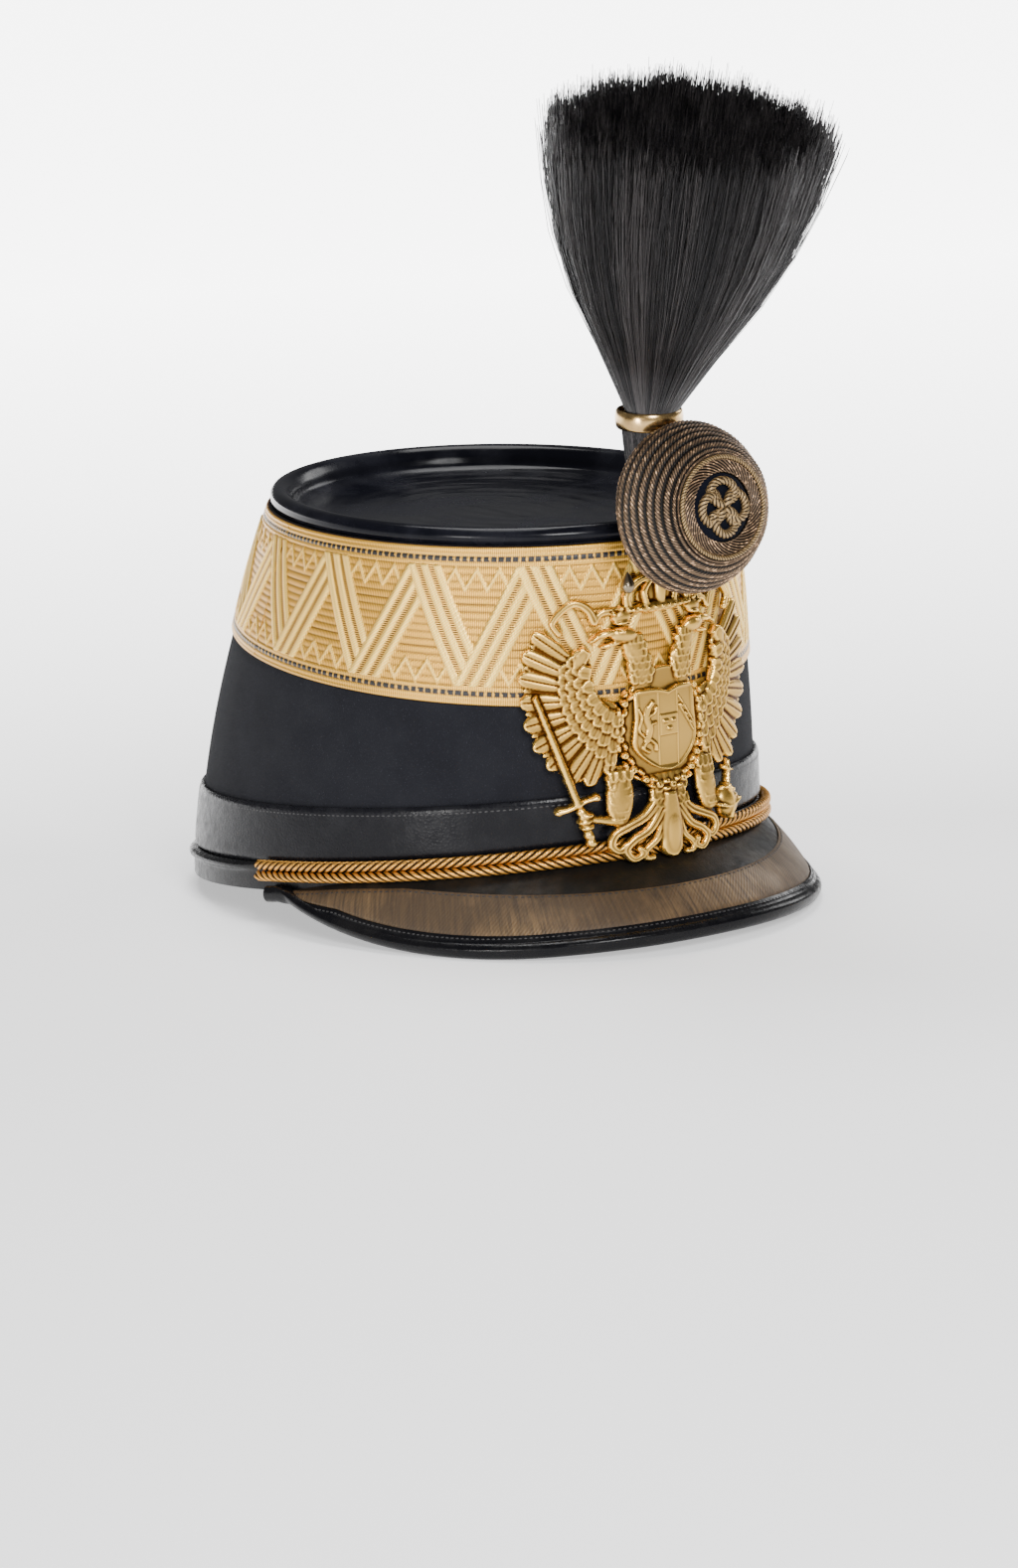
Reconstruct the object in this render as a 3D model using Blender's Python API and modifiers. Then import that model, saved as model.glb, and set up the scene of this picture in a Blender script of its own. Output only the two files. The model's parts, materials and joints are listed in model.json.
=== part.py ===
"""A parade shako with a sloping lacquered top, gold lace, a gilt eagle badge and a horsehair plume.

The hat is drawn in its own frame: the rim lies in the plane z = 0, the front faces -Y and
the wearer's left is +X. At the end the whole hat is tipped back until the edge of its peak and
the rear of its rim stand on the ground, and the middle of its box goes over the origin.
"""
import math

import bmesh
import bpy
import numpy as np
from mathutils import Matrix, Vector

MM = 0.001
DEGREE = math.pi / 180

# Crown: an oval wall that leans forward as it rises
RIM_HALF_WIDTH = 92.7 * MM
RIM_HALF_LENGTH = 113.0 * MM
TOP_HALF_WIDTH = 74.9 * MM
TOP_HALF_LENGTH = 88.6 * MM
CROWN_HEIGHT = 126.7 * MM
RIM_SHIFT = -0.4 * MM
TOP_SHIFT = -39.8 * MM
TOP_SLOPE = 0.129
WALL_TAPER = 1.6
WALL_LEAN = 1.25
WALL = 3.0 * MM

# Clearance between neighbouring pieces, and the thickness of trim
GAP = 0.3 * MM
TRIM = 1.5 * MM

# Lacquered top
LIP_DEPTH = 2.4 * MM
LIP_BULGE = 0.9 * MM
LIP_RISE = 3.4 * MM
LIP_WIDTH = 7.0 * MM
TOP_SINK = 6.2 * MM
TOP_THICKNESS = 2.6 * MM

# Gold lace, which ends under the lip of the top, and the leather band
LACE_HEAD = 1 - (LIP_DEPTH + 2 * GAP) / CROWN_HEIGHT
LACE_FOOT = 75.8 * MM
LACE_FOOT_TILT = 19.0 * MM
BAND_TOP = 30.2 * MM

# Leather binding of the rim
BINDING_HEIGHT = 9.8 * MM
WELT = 2.0 * MM
WELT_START = 86 * DEGREE
WELT_FULL = 100 * DEGREE
EDGE_FLOOR = TRIM

# Peak
PEAK_HALF_WIDTH = 97.0 * MM
PEAK_REACH = 143.8 * MM
PEAK_SQUARENESS = 2.2
PEAK_DROP = 24.0 * MM
PEAK_CORNER_RISE = 31.5 * MM
PEAK_ROOT_HEIGHT = 1.8 * MM
PEAK_CORNER_SINK = 3.0 * MM
PEAK_SINK_START = 58 * DEGREE
PEAK_ANGLE = 84 * DEGREE
PEAK_FALL_ANGLE = 65 * DEGREE
PEAK_THICKNESS = 2.5 * MM
PEAK_BULGE = 1.5 * MM
PEAK_LEAST_WIDTH = 4.2 * MM
EDGE_LEG = 7.0 * MM
EDGE_LEAST_LEG = 3.4 * MM
EDGE_UNDER_LEG = 5.0 * MM
EDGE_LEATHER = 1.0 * MM
EDGE_BEAD = 2.6 * MM
PEAK_LACE_ANGLE = 76 * DEGREE
PEAK_LACE_THICKNESS = 0.65 * MM
LEATHER_SHARE = 0.44

# Twin cord above the peak
CORD_DIAMETER = 3.5 * MM
CORD_HEIGHT = 6.4 * MM
CORD_SIDE_RISE = 0.9 * MM
CORD_ANGLE = 88 * DEGREE

# Eagle badge: its tables hold hundredths of its height
BADGE_HEIGHT = 100.0 * MM
BADGE_FOOT = 2.0 * MM
BADGE_CENTRE = -2.0 * MM
BADGE_STANDOFF = 2.6 * MM
BADGE_FAR_WING = 0.88
BADGE_VOXEL = 0.6
BADGE_TRIANGLES = 2900
SHIELD_DEPTH = 1.9
SHIELD_BACK = 2.6

# Cockade
COCKADE_HEIGHT = 122.0 * MM
COCKADE_RADIUS = 29.0 * MM
COCKADE_DEPTH = 25.0 * MM
COCKADE_FACE_RADIUS = 18.0 * MM
VELVET_RADIUS = 11.5 * MM
COCKADE_TRIM = 1.4 * MM
ORNAMENT_RADIUS = 9.2 * MM

# Plume socket, stem, ferrule and hair: the socket stands clear of the badge, the ferrule of the cockade
SOCKET_RADIUS = 6.2 * MM
SOCKET_WALL = 1.6 * MM
SOCKET_CLEARANCE = 2.5 * MM
SOCKET_LENGTH = 19.5 * MM
SOCKET_FOOT = BADGE_FOOT + BADGE_HEIGHT + SOCKET_CLEARANCE
SOCKET_TOP = SOCKET_FOOT + SOCKET_LENGTH
STEM_RADIUS = 8.5 * MM
FERRULE_CLEARANCE = 1.8 * MM
FERRULE_HEIGHT = COCKADE_HEIGHT + COCKADE_RADIUS + FERRULE_CLEARANCE
FERRULE_FORWARD = 132.2 * MM
FERRULE_RADIUS = 11.7 * MM
FERRULE_LENGTH = 6.5 * MM
FERRULE_WALL = 0.9 * MM
FERRULE_TILT = 9.5 * DEGREE
PLUME_LENGTH = 108.0 * MM
PLUME_RADIUS = 48.0 * MM
PLUME_LEAN = 20.5 * DEGREE

# Teardrop knob under the cockade: it hangs clear of the crown on the eagle's right head
KNOB_RADIUS = 2.4 * MM
KNOB_LENGTH = 7.6 * MM
KNOB_SIDE = -14.3 * MM
KNOB_CLEARANCE = 4.2 * MM
HEAD_CROWN_TOP = 88.5
KNOB_FOOT = BADGE_FOOT + BADGE_HEIGHT * HEAD_CROWN_TOP / 100 + KNOB_CLEARANCE
KNOB_HEIGHT = KNOB_FOOT + KNOB_LENGTH / 2

RING_STATIONS = 48
PEAK_STATIONS = 36


def lerp(low, high, share):
    return low + (high - low) * share


def smooth_step(low, high, value):
    """0 below low, 1 above high and a soft slope between them."""
    share = min(1.0, max(0.0, (value - low) / (high - low)))
    return share * share * (3 - 2 * share)


def outline_at(share):
    """Half width, half length and forward shift of the wall's oval at a share of its height."""
    taper = max(share, 0.0) ** WALL_TAPER
    lean = max(share, 0.0) ** WALL_LEAN
    return (lerp(RIM_HALF_WIDTH, TOP_HALF_WIDTH, taper),
            lerp(RIM_HALF_LENGTH, TOP_HALF_LENGTH, taper),
            lerp(RIM_SHIFT, TOP_SHIFT, lean))


def wall_skin(angle, share):
    """A point on the outside of the wall: the angle runs from the front towards +X."""
    half_width, half_length, shift = outline_at(share)
    forward = half_length * math.cos(angle)
    height = CROWN_HEIGHT * share - TOP_SLOPE * max(share, 0.0) * forward
    return Vector((half_width * math.sin(angle), shift - forward, height))


def wall_point(angle, share, outward=0.0):
    """A point that stands off the wall along its normal."""
    step = 1e-3
    around = wall_skin(angle + step, share) - wall_skin(angle - step, share)
    upward = wall_skin(angle, share + step) - wall_skin(angle, max(share - step, 0.0))
    return wall_skin(angle, share) + around.cross(upward).normalized() * outward


def share_at(angle, height):
    """The share of the wall's height at which its skin reaches this height at this angle."""
    share = height / CROWN_HEIGHT
    for _ in range(5):
        share += (height - wall_skin(angle, share).z) / CROWN_HEIGHT
    return share


def level_point(angle, height, outward):
    """A point that stands off the wall and lies exactly at the height."""
    point = wall_point(angle, height / CROWN_HEIGHT, outward)
    point.z = height
    return point


def material(name, colour, roughness, metallic):
    made = bpy.data.materials.new(name)
    made.use_nodes = True
    shader = made.node_tree.nodes["Principled BSDF"]
    shader.inputs["Base Color"].default_value = (*colour, 1.0)
    shader.inputs["Roughness"].default_value = roughness
    shader.inputs["Metallic"].default_value = metallic
    made.diffuse_color = (*colour, 1.0)
    return made


def add_object(name, data, colour):
    """Put a mesh or curve in the hat's collection under the frame that tips the hat."""
    made = bpy.data.objects.new(name, data)
    data.materials.append(colour)
    hat.objects.link(made)
    made.parent = rest_frame
    return made


def mesh_object(name, built, colour):
    """Turn a finished bmesh into an object that is smooth except at its sharp edges."""
    bmesh.ops.recalc_face_normals(built, faces=built.faces)
    data = bpy.data.meshes.new(name)
    built.to_mesh(data)
    built.free()
    data.shade_smooth()
    data.set_sharp_from_angle(angle=40 * DEGREE)
    return add_object(name, data, colour)


def loft(name, loops, colour, closed):
    """A closed skin through a row of equal loops; closed joins the last loop to the first."""
    built = bmesh.new()
    rings = [[built.verts.new(point) for point in loop] for loop in loops]
    pairs = list(zip(rings, rings[1:]))
    if closed:
        pairs.append((rings[-1], rings[0]))
    for first, second in pairs:
        for place in range(len(first)):
            built.faces.new((first[place - 1], first[place], second[place], second[place - 1]))
    if not closed:
        built.faces.new(rings[0])
        built.faces.new(rings[-1])
    return mesh_object(name, built, colour)


def round_angles(count):
    return [2 * math.pi * turn / count for turn in range(count)]


def even_angles(limit, count):
    return [lerp(-limit, limit, turn / count) for turn in range(count + 1)]


def build_crown_body(colour):
    """The cloth wall, open at both ends."""
    foot = (EDGE_FLOOR + GAP) / CROWN_HEIGHT
    head = 1 - (LIP_DEPTH + GAP) / CROWN_HEIGHT
    bound = BINDING_HEIGHT / CROWN_HEIGHT
    shares = [foot] + [lerp(bound, head, step / 4) for step in range(5)]
    loops = []
    for angle in round_angles(RING_STATIONS):
        outside = [wall_point(angle, share) for share in shares]
        inside = [wall_point(angle, share, -WALL) for share in reversed(shares)]
        loops.append(outside + inside)
    return loft("crown_body", loops, colour, True)


def top_point(angle, outward, above):
    """A point measured outward from the top's outline and upward from its sloping plane.

    Below that plane the point moves back with the wall's lean.
    """
    lean = (TOP_SHIFT - RIM_SHIFT) * WALL_LEAN / CROWN_HEIGHT
    forward = (TOP_HALF_LENGTH + outward) * math.cos(angle)
    return Vector(((TOP_HALF_WIDTH + outward) * math.sin(angle),
                   TOP_SHIFT + min(above, 0.0) * lean - forward,
                   CROWN_HEIGHT - TOP_SLOPE * forward + above))


def build_crown_top(colour):
    """The sunken lacquered top with its rounded rim, which caps the wall."""
    plug = WALL + GAP
    under = TOP_SINK + TOP_THICKNESS
    profile = [(-TOP_HALF_WIDTH * 0.5, -under), (-LIP_WIDTH * 1.7, -under),
               (-plug, -TOP_SINK), (-plug, -LIP_DEPTH), (0.0, -LIP_DEPTH),
               (LIP_BULGE, -LIP_DEPTH * 0.2), (LIP_BULGE * 0.8, LIP_RISE * 0.45),
               (-LIP_WIDTH * 0.11, LIP_RISE * 0.91), (-LIP_WIDTH * 0.43, LIP_RISE),
               (-LIP_WIDTH * 0.72, LIP_RISE * 0.7), (-LIP_WIDTH, -TOP_SINK * 0.08),
               (-LIP_WIDTH * 1.3, -TOP_SINK * 0.56), (-LIP_WIDTH * 2, -TOP_SINK * 0.84),
               (-TOP_HALF_WIDTH * 0.5, -TOP_SINK)]
    loops = [[top_point(angle, outward, above) for angle in round_angles(RING_STATIONS)]
             for outward, above in profile]
    return loft("crown_top", loops, colour, False)


def build_band(name, foot_height, head_share, steps, colour):
    """A strip of trim that lies on the wall from a height, given by angle, to a share."""
    loops = []
    for angle in round_angles(RING_STATIONS):
        foot = share_at(angle, foot_height(angle))
        shares = [lerp(foot, head_share, step / steps) for step in range(steps + 1)]
        outside = [wall_point(angle, share, GAP + TRIM) for share in shares]
        inside = [wall_point(angle, share, GAP) for share in reversed(shares)]
        loops.append(outside + inside)
    return loft(name, loops, colour, True)


def build_rim_binding(colour):
    """A leather channel round the foot of the wall, with a welt round the back."""
    outer = GAP + TRIM
    inner = -(WALL + GAP)
    loops = []
    for angle in round_angles(RING_STATIONS):
        turn = abs((angle + math.pi) % (2 * math.pi) - math.pi)
        welt = WELT * smooth_step(WELT_START, WELT_FULL, turn)
        section = [(outer, 0.0), (outer, BINDING_HEIGHT * 0.68), (outer + welt, BINDING_HEIGHT * 0.82),
                   (outer - TRIM * 0.2, BINDING_HEIGHT), (GAP, BINDING_HEIGHT), (GAP, EDGE_FLOOR),
                   (inner, EDGE_FLOOR), (inner, BINDING_HEIGHT), (inner - TRIM, BINDING_HEIGHT),
                   (inner - TRIM, 0.0)]
        loops.append([level_point(angle, height, outward) for outward, height in section])
    return loft("rim_binding", loops, colour, True)


def peak_root(bearing):
    """Where the peak meets the rim binding, at a bearing from the front seen from the middle."""
    angle = math.atan2(math.sin(bearing) * RIM_HALF_LENGTH, math.cos(bearing) * RIM_HALF_WIDTH)
    sink = PEAK_CORNER_SINK * smooth_step(PEAK_SINK_START, PEAK_ANGLE, abs(bearing))
    root = level_point(angle, PEAK_ROOT_HEIGHT, TRIM + 2.3 * GAP)
    root.z -= sink
    return root


def peak_edge(bearing):
    """The outer edge of the peak's middle surface: a superellipse that dips at the front."""
    side = abs(math.sin(bearing)) / PEAK_HALF_WIDTH
    front = abs(math.cos(bearing)) / PEAK_REACH
    radius = (side ** PEAK_SQUARENESS + front ** PEAK_SQUARENESS) ** (-1 / PEAK_SQUARENESS)
    fall = min(1.0, (math.pi / 2 - abs(bearing)) / PEAK_FALL_ANGLE)
    root = peak_root(bearing)
    height = min(root.z, PEAK_CORNER_RISE * (1 - fall) ** 2 - PEAK_DROP)
    drop = root.z - height
    least_run = math.sqrt(max(PEAK_LEAST_WIDTH ** 2 - drop ** 2, 0.0))
    radius = max(radius, math.hypot(root.x, root.y) + least_run)
    return Vector((radius * math.sin(bearing), -radius * math.cos(bearing), height))


def peak_width(bearing):
    return (peak_edge(bearing) - peak_root(bearing)).length


def peak_point(bearing, inward, above):
    """A point measured inward from the peak's edge and upward from its middle surface.

    Upward is square to the surface, and turns upright where the peak meets the rim.
    """
    root = peak_root(bearing)
    edge = peak_edge(bearing)
    width = (edge - root).length
    along = (edge - root) / width
    share = inward / width
    square = (Vector((0, 0, 1)) - along * along.z).normalized()
    upward = square.lerp(Vector((0, 0, 1)), share ** 6)
    bulge = PEAK_BULGE * width / (PEAK_REACH - RIM_HALF_LENGTH) * 4 * share * (1 - share)
    return edge - along * inward + upward * (above + bulge)


def edge_leg(bearing):
    """How far the edge binding reaches in over the peak; it narrows at the corners."""
    return max(EDGE_LEAST_LEG, min(EDGE_LEG, 0.45 * peak_width(bearing)))


def build_peak(colour):
    """The leather plate of the peak, from the rim binding to inside its edge binding."""
    half = PEAK_THICKNESS / 2
    loops = []
    for bearing in even_angles(PEAK_ANGLE, PEAK_STATIONS):
        width = peak_width(bearing)
        rows = [lerp(width, EDGE_BEAD + GAP, step / 4) for step in range(5)]
        upper = [peak_point(bearing, row, half) for row in rows]
        lower = [peak_point(bearing, row, -half) for row in reversed(rows)]
        loops.append(upper + lower)
    return loft("peak", loops, colour, False)


def build_peak_lace(colour):
    """The strip of lace on the peak between the plain leather and the edge binding."""
    foot = PEAK_THICKNESS / 2 + GAP
    loops = []
    for bearing in even_angles(PEAK_LACE_ANGLE, PEAK_STATIONS):
        width = peak_width(bearing)
        plain = LEATHER_SHARE * max(0.0, math.cos(1.15 * bearing)) ** 2.2
        inner = width * (1 - max(plain, 0.12))
        outer = edge_leg(bearing) + 2 * GAP
        rows = [lerp(max(inner, outer + 2 * GAP), outer, step / 2) for step in range(3)]
        upper = [peak_point(bearing, row, foot + PEAK_LACE_THICKNESS) for row in rows]
        lower = [peak_point(bearing, row, foot) for row in reversed(rows)]
        loops.append(upper + lower)
    return loft("peak_lace", loops, colour, False)


def build_peak_binding(colour):
    """The leather fold round the peak's edge, with a bead along its nose."""
    channel = PEAK_THICKNESS / 2 + GAP
    outside = channel + EDGE_LEATHER
    loops = []
    for bearing in even_angles(PEAK_ANGLE, PEAK_STATIONS):
        leg = edge_leg(bearing)
        under = min(EDGE_UNDER_LEG, leg)
        section = [(0.0, 0.0), (EDGE_BEAD * 0.2, outside * 0.72), (EDGE_BEAD * 0.7, outside * 1.14),
                   (EDGE_BEAD * 1.25, outside * 0.98), (leg, outside * 0.88), (leg, channel),
                   (EDGE_BEAD, channel), (EDGE_BEAD, -channel), (under, -channel),
                   (under, -outside * 0.92), (EDGE_BEAD * 0.7, -outside * 1.05),
                   (EDGE_BEAD * 0.2, -outside * 0.72)]
        loops.append([peak_point(bearing, inward, above) for inward, above in section])
    return loft("peak_binding", loops, colour, False)


def cord_point(angle, row):
    """The middle of the upper (row 1) or lower (row -1) strand of the cord."""
    height = CORD_HEIGHT + row * CORD_DIAMETER / 2 + CORD_SIDE_RISE * (1 - math.cos(angle))
    outward = 2 * GAP + TRIM + CORD_DIAMETER / 2
    return level_point(angle, height + row * GAP / 2, outward)


def build_cord(name, row, colour):
    """One strand of the twin cord across the front of the rim."""
    curve = bpy.data.curves.new(name, "CURVE")
    curve.dimensions = "3D"
    curve.bevel_depth = CORD_DIAMETER / 2
    curve.bevel_resolution = 2
    curve.use_fill_caps = True
    angles = even_angles(CORD_ANGLE, 28)
    spline = curve.splines.new("POLY")
    spline.points.add(len(angles) - 1)
    for point, angle in zip(spline.points, angles):
        point.co = (*cord_point(angle, row), 1.0)
    return add_object(name, curve, colour)


# The eagle's right half, mirrored to its left: leaves are root, tip, half width and the depth
# of the middle and of the half thickness, all in hundredths of the badge's height
WING_FEATHERS = [
    ((31, 70), (45.5, 82.5), 1.9), ((32, 67.5), (48.5, 78.5), 1.9), ((33, 65), (50.5, 74), 1.9),
    ((33.5, 62), (50.7, 68.8), 1.9), ((34, 59), (50.2, 63), 1.9), ((33, 56), (49.5, 55.5), 2.0),
    ((32, 52), (46.8, 49), 2.0), ((30.5, 48), (45.7, 44), 2.0), ((29, 45.5), (43.7, 39.5), 2.0),
    ((27, 43.5), (41.3, 35), 2.0), ((25, 42), (38, 31), 2.0), ((23.5, 41.5), (34.5, 28.5), 2.0),
    ((21.5, 42), (30, 28.5), 2.0), ((20, 44), (25, 31), 2.0), ((18, 45), (19.8, 34), 2.0)]
WING_COVERTS = [
    ((29.5, 76), (31, 56), 4.4), ((34, 68), (30, 50), 5.6), ((32, 60), (20, 42), 6.6),
    ((29, 55), (16.5, 52), 4.4), ((26, 52), (18, 38), 5.6)]
HEAD_LEAVES = [
    ((7.5, 60.5), (9, 75), 5.2), ((8.5, 68), (12.5, 80), 4.0), ((9.5, 78), (19.5, 79.5), 3.2),
    ((17, 80), (27.5, 78), 1.4), ((13, 76), (23, 75.5), 1.3), ((11.5, 85.5), (18.5, 85), 2.8)]
LEG_LEAVES = [
    ((17, 34), (18.5, 13.5), 4.9), ((12.5, 30), (22.5, 30), 3.0), ((18, 17.5), (31, 17.5), 1.8)]
TAIL_SCROLLS = [
    [(4, 21), (10.5, 15), (17, 13.2), (20.6, 10.6), (20.6, 7.4), (18.2, 5.6)],
    [(3.5, 15), (9.5, 9.6), (14.5, 7.6), (16.2, 4.4), (13.4, 1.9), (10.2, 3.4)],
    [(17.5, 15.5), (17, 13.2)]]
RIBBON = [(11.5, 86.5), (20, 86.5), (24, 84.5), (28, 89.5), (32, 91), (38.3, 86), (36.2, 81.8)]
SCROLL_RADIUS = 1.6
RIBBON_RADIUS = 1.4
CROWN_LEAVES = [
    ((-13.5, 87), (13.5, 87), 1.9), ((-11, 87), (-4.5, 97), 2.3), ((11, 87), (4.5, 97), 2.3),
    ((0, 86), (0, 99), 3.2), ((-8, 91), (8, 91), 3.6), ((-2.6, 98), (2.6, 98), 1.0)]
TAIL_LEAVES = [((0, 29.5), (0, 10), 7.4), ((0, 22), (0, 0), 4.3)]
SWORD = [(-45, 61), (-32, 23.5)]
SWORD_GUARD = [(-37.5, 22), (-26.5, 24.5)]
SWORD_GRIP = [(-32, 23.5), (-28.4, 9.6)]
ORB = (27.8, 15.5)
ORB_RADIUS = 5.8
ORB_CROSS = [(29, 20), (31.6, 29)]
ORB_CROSS_ARMS = [(28.6, 26.8), (33.4, 25.4)]
CHEST_HALF_WIDTH = 17.0
CHEST_HALF_HEIGHT = 20.4
CHEST_HEIGHT = 46.0
CHEST_THICKNESS = 2.0
COLLAR_LINKS = 26
COLLAR_LINK_RADIUS = 1.6
SHIELD_OUTLINE = [
    (0, 58), (5, 59.5), (12, 58.6), (12.4, 50), (13.4, 41), (10, 36), (4.5, 32), (0, 30.6),
    (-4.5, 32), (-10, 36), (-13.4, 41), (-12.4, 50), (-12, 58.6), (-5, 59.5)]


def plane_matrix(start, end, depth):
    """A frame at the middle of a line in the badge's plane, its X along the line."""
    middle = Vector(((start[0] + end[0]) / 2, (start[1] + end[1]) / 2, depth))
    heading = math.atan2(end[1] - start[1], end[0] - start[0])
    return Matrix.Translation(middle) @ Matrix.Rotation(heading, 4, "Z")


def add_leaf(built, start, end, half_width, half_depth, depth):
    """A flattened ball stretched between two points."""
    half_length = math.dist(start, end) / 2
    shape = plane_matrix(start, end, depth) @ Matrix.Diagonal((half_length, half_width, half_depth, 1))
    bmesh.ops.create_icosphere(built, subdivisions=3, radius=1.0, matrix=shape)


def add_rod(built, points, radius, depth):
    """Round rods through the points, with a ball at each of them."""
    for start, end in zip(points, points[1:]):
        turned = plane_matrix(start, end, depth) @ Matrix.Rotation(math.pi / 2, 4, "Y")
        bmesh.ops.create_cone(built, cap_ends=True, segments=12, radius1=radius, radius2=radius,
                              depth=math.dist(start, end), matrix=turned)
    for point in points:
        place = Matrix.Translation((point[0], point[1], depth))
        bmesh.ops.create_icosphere(built, subdivisions=2, radius=radius, matrix=place)


def mirrored(points, side):
    return [(across * side, up) for across, up in points]


def add_eagle_half(built, side):
    """Wing, head, leg, tail scrolls and ribbon of one side; side is 1 or -1."""
    groups = [(WING_FEATHERS, 1.1, 1.2), (WING_COVERTS, 1.9, 2.0), (HEAD_LEAVES, 2.1, 2.2),
              (LEG_LEAVES, 2.0, 2.1)]
    for leaves, half_depth, depth in groups:
        for start, end, half_width in leaves:
            first, last = mirrored((start, end), side)
            add_leaf(built, first, last, half_width, half_depth, depth)
    for scroll in TAIL_SCROLLS:
        add_rod(built, mirrored(scroll, side), SCROLL_RADIUS, SCROLL_RADIUS + 0.1)
    add_rod(built, mirrored(RIBBON, side), RIBBON_RADIUS, RIBBON_RADIUS + 0.1)


def add_collar(built):
    """The chain of the collar, which hangs round the shield."""
    for link in range(COLLAR_LINKS):
        swing = lerp(-35 * DEGREE, 215 * DEGREE, link / (COLLAR_LINKS - 1))
        across = CHEST_HALF_WIDTH * math.cos(swing)
        up = CHEST_HEIGHT - CHEST_HALF_HEIGHT * math.sin(swing)
        place = Matrix.Translation((across, up, CHEST_THICKNESS + 0.2))
        bmesh.ops.create_icosphere(built, subdivisions=2, radius=COLLAR_LINK_RADIUS, matrix=place)


def flat_eagle():
    """The whole eagle, flat in its own plane and in hundredths of its height."""
    built = bmesh.new()
    for side in (-1, 1):
        add_eagle_half(built, side)
    chest = Matrix.Translation((0, CHEST_HEIGHT, CHEST_THICKNESS / 2)) @ Matrix.Diagonal(
        (CHEST_HALF_WIDTH, CHEST_HALF_HEIGHT, CHEST_THICKNESS, 1))
    bmesh.ops.create_cone(built, cap_ends=True, segments=40, radius1=1, radius2=1, depth=1, matrix=chest)
    add_collar(built)
    for start, end, half_width in CROWN_LEAVES + TAIL_LEAVES:
        add_leaf(built, start, end, half_width, 1.9, 2.0)
    add_rod(built, SWORD, 1.2, 3.0)
    add_rod(built, SWORD_GUARD, 1.2, 2.6)
    add_rod(built, SWORD_GRIP, 1.9, 2.2)
    add_leaf(built, (-34.5, 17.5), (-27, 17.5), 3.4, 2.4, 2.5)
    add_leaf(built, (ORB[0] - ORB_RADIUS, ORB[1]), (ORB[0] + ORB_RADIUS, ORB[1]), ORB_RADIUS, 2.8, 2.9)
    add_rod(built, ORB_CROSS, 1.1, 2.0)
    add_rod(built, ORB_CROSS_ARMS, 1.1, 2.0)
    return built


def badge_point(across, up, depth):
    """Bend a point of the badge's plane round the front of the crown."""
    unit = BADGE_HEIGHT / 100
    height = max(BADGE_FOOT + up * unit, 0.0)
    side = BADGE_CENTRE + across * unit * (BADGE_FAR_WING if across > 0 else 1.0)
    half_width, half_length, _ = outline_at(height / CROWN_HEIGHT)
    arc = side / half_width
    angle = arc * (1 - (half_length ** 2 - half_width ** 2) / (6 * half_width ** 2) * arc ** 2)
    cord_outside = 2 * GAP + TRIM + CORD_DIAMETER
    cord_top = CORD_HEIGHT + CORD_DIAMETER + CORD_SIDE_RISE
    lift = (cord_outside + 2 * GAP - BADGE_STANDOFF) * (1 - smooth_step(cord_top, 4 * cord_top, height))
    return wall_point(angle, share_at(angle, height), BADGE_STANDOFF + lift + depth * unit)


def evaluated_mesh(source):
    """A new mesh of the object with its modifiers applied."""
    return bpy.data.meshes.new_from_object(source.evaluated_get(bpy.context.evaluated_depsgraph_get()))


def build_eagle(colour):
    """Fuse the eagle's shapes into one skin, thin it out and bend it round the crown."""
    data = bpy.data.meshes.new("eagle_draft")
    built = flat_eagle()
    built.to_mesh(data)
    built.free()
    draft = bpy.data.objects.new("eagle_draft", data)
    bpy.context.scene.collection.objects.link(draft)
    fuse = draft.modifiers.new("fuse", "REMESH")
    fuse.mode = "VOXEL"
    fuse.voxel_size = BADGE_VOXEL
    soften = draft.modifiers.new("soften", "SMOOTH")
    soften.iterations = 5
    fused = evaluated_mesh(draft)
    draft.modifiers.clear()
    draft.data = fused
    thin = draft.modifiers.new("thin", "DECIMATE")
    thin.ratio = BADGE_TRIANGLES / (2 * len(fused.polygons))
    finished = evaluated_mesh(draft)
    bpy.data.objects.remove(draft)
    for vertex in finished.vertices:
        vertex.co = badge_point(*vertex.co)
    finished.name = "eagle_badge"
    finished.shade_smooth()
    return add_object("eagle_badge", finished, colour)


def build_shield(colour):
    """The arched shield on the eagle's chest."""
    middle = Vector((0, (SHIELD_OUTLINE[0][1] + SHIELD_OUTLINE[7][1]) / 2))
    rows = [(0.3, 0.0), (0.97, 0.0), (1.0, 0.35), (0.96, 0.75), (0.7, 0.92), (0.3, 1.0)]
    loops = []
    for size, rise in rows:
        loop = []
        for corner in SHIELD_OUTLINE:
            place = middle + (Vector(corner) - middle) * size
            loop.append(badge_point(place.x, place.y, SHIELD_BACK + SHIELD_DEPTH * rise))
        loops.append(loop)
    return loft("badge_shield", loops, colour, False)


def cockade_back():
    """How far forward the cockade's back lies: just in front of the plume socket."""
    return socket_forward() + SOCKET_RADIUS + GAP


def socket_forward():
    """How far forward the socket's axis lies: its back rests on the lace."""
    lace_front = max(-wall_point(0.0, share_at(0.0, height), GAP + TRIM).y
                     for height in (SOCKET_FOOT, CROWN_HEIGHT - TOP_SLOPE * TOP_HALF_LENGTH))
    return lace_front + GAP + SOCKET_RADIUS


def cockade_point(angle, radius, forward):
    """A point round the cockade's axis, measured forward from its back."""
    return Vector((radius * math.sin(angle), -(cockade_back() + forward),
                   COCKADE_HEIGHT + radius * math.cos(angle)))


def build_turned(name, profile, count, colour, placed, closed=False):
    """Turn a profile of radius and distance round an axis; placed maps it into the hat."""
    loops = [[placed(angle, radius, along) for angle in round_angles(count)]
             for radius, along in profile]
    return loft(name, loops, colour, closed)


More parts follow.
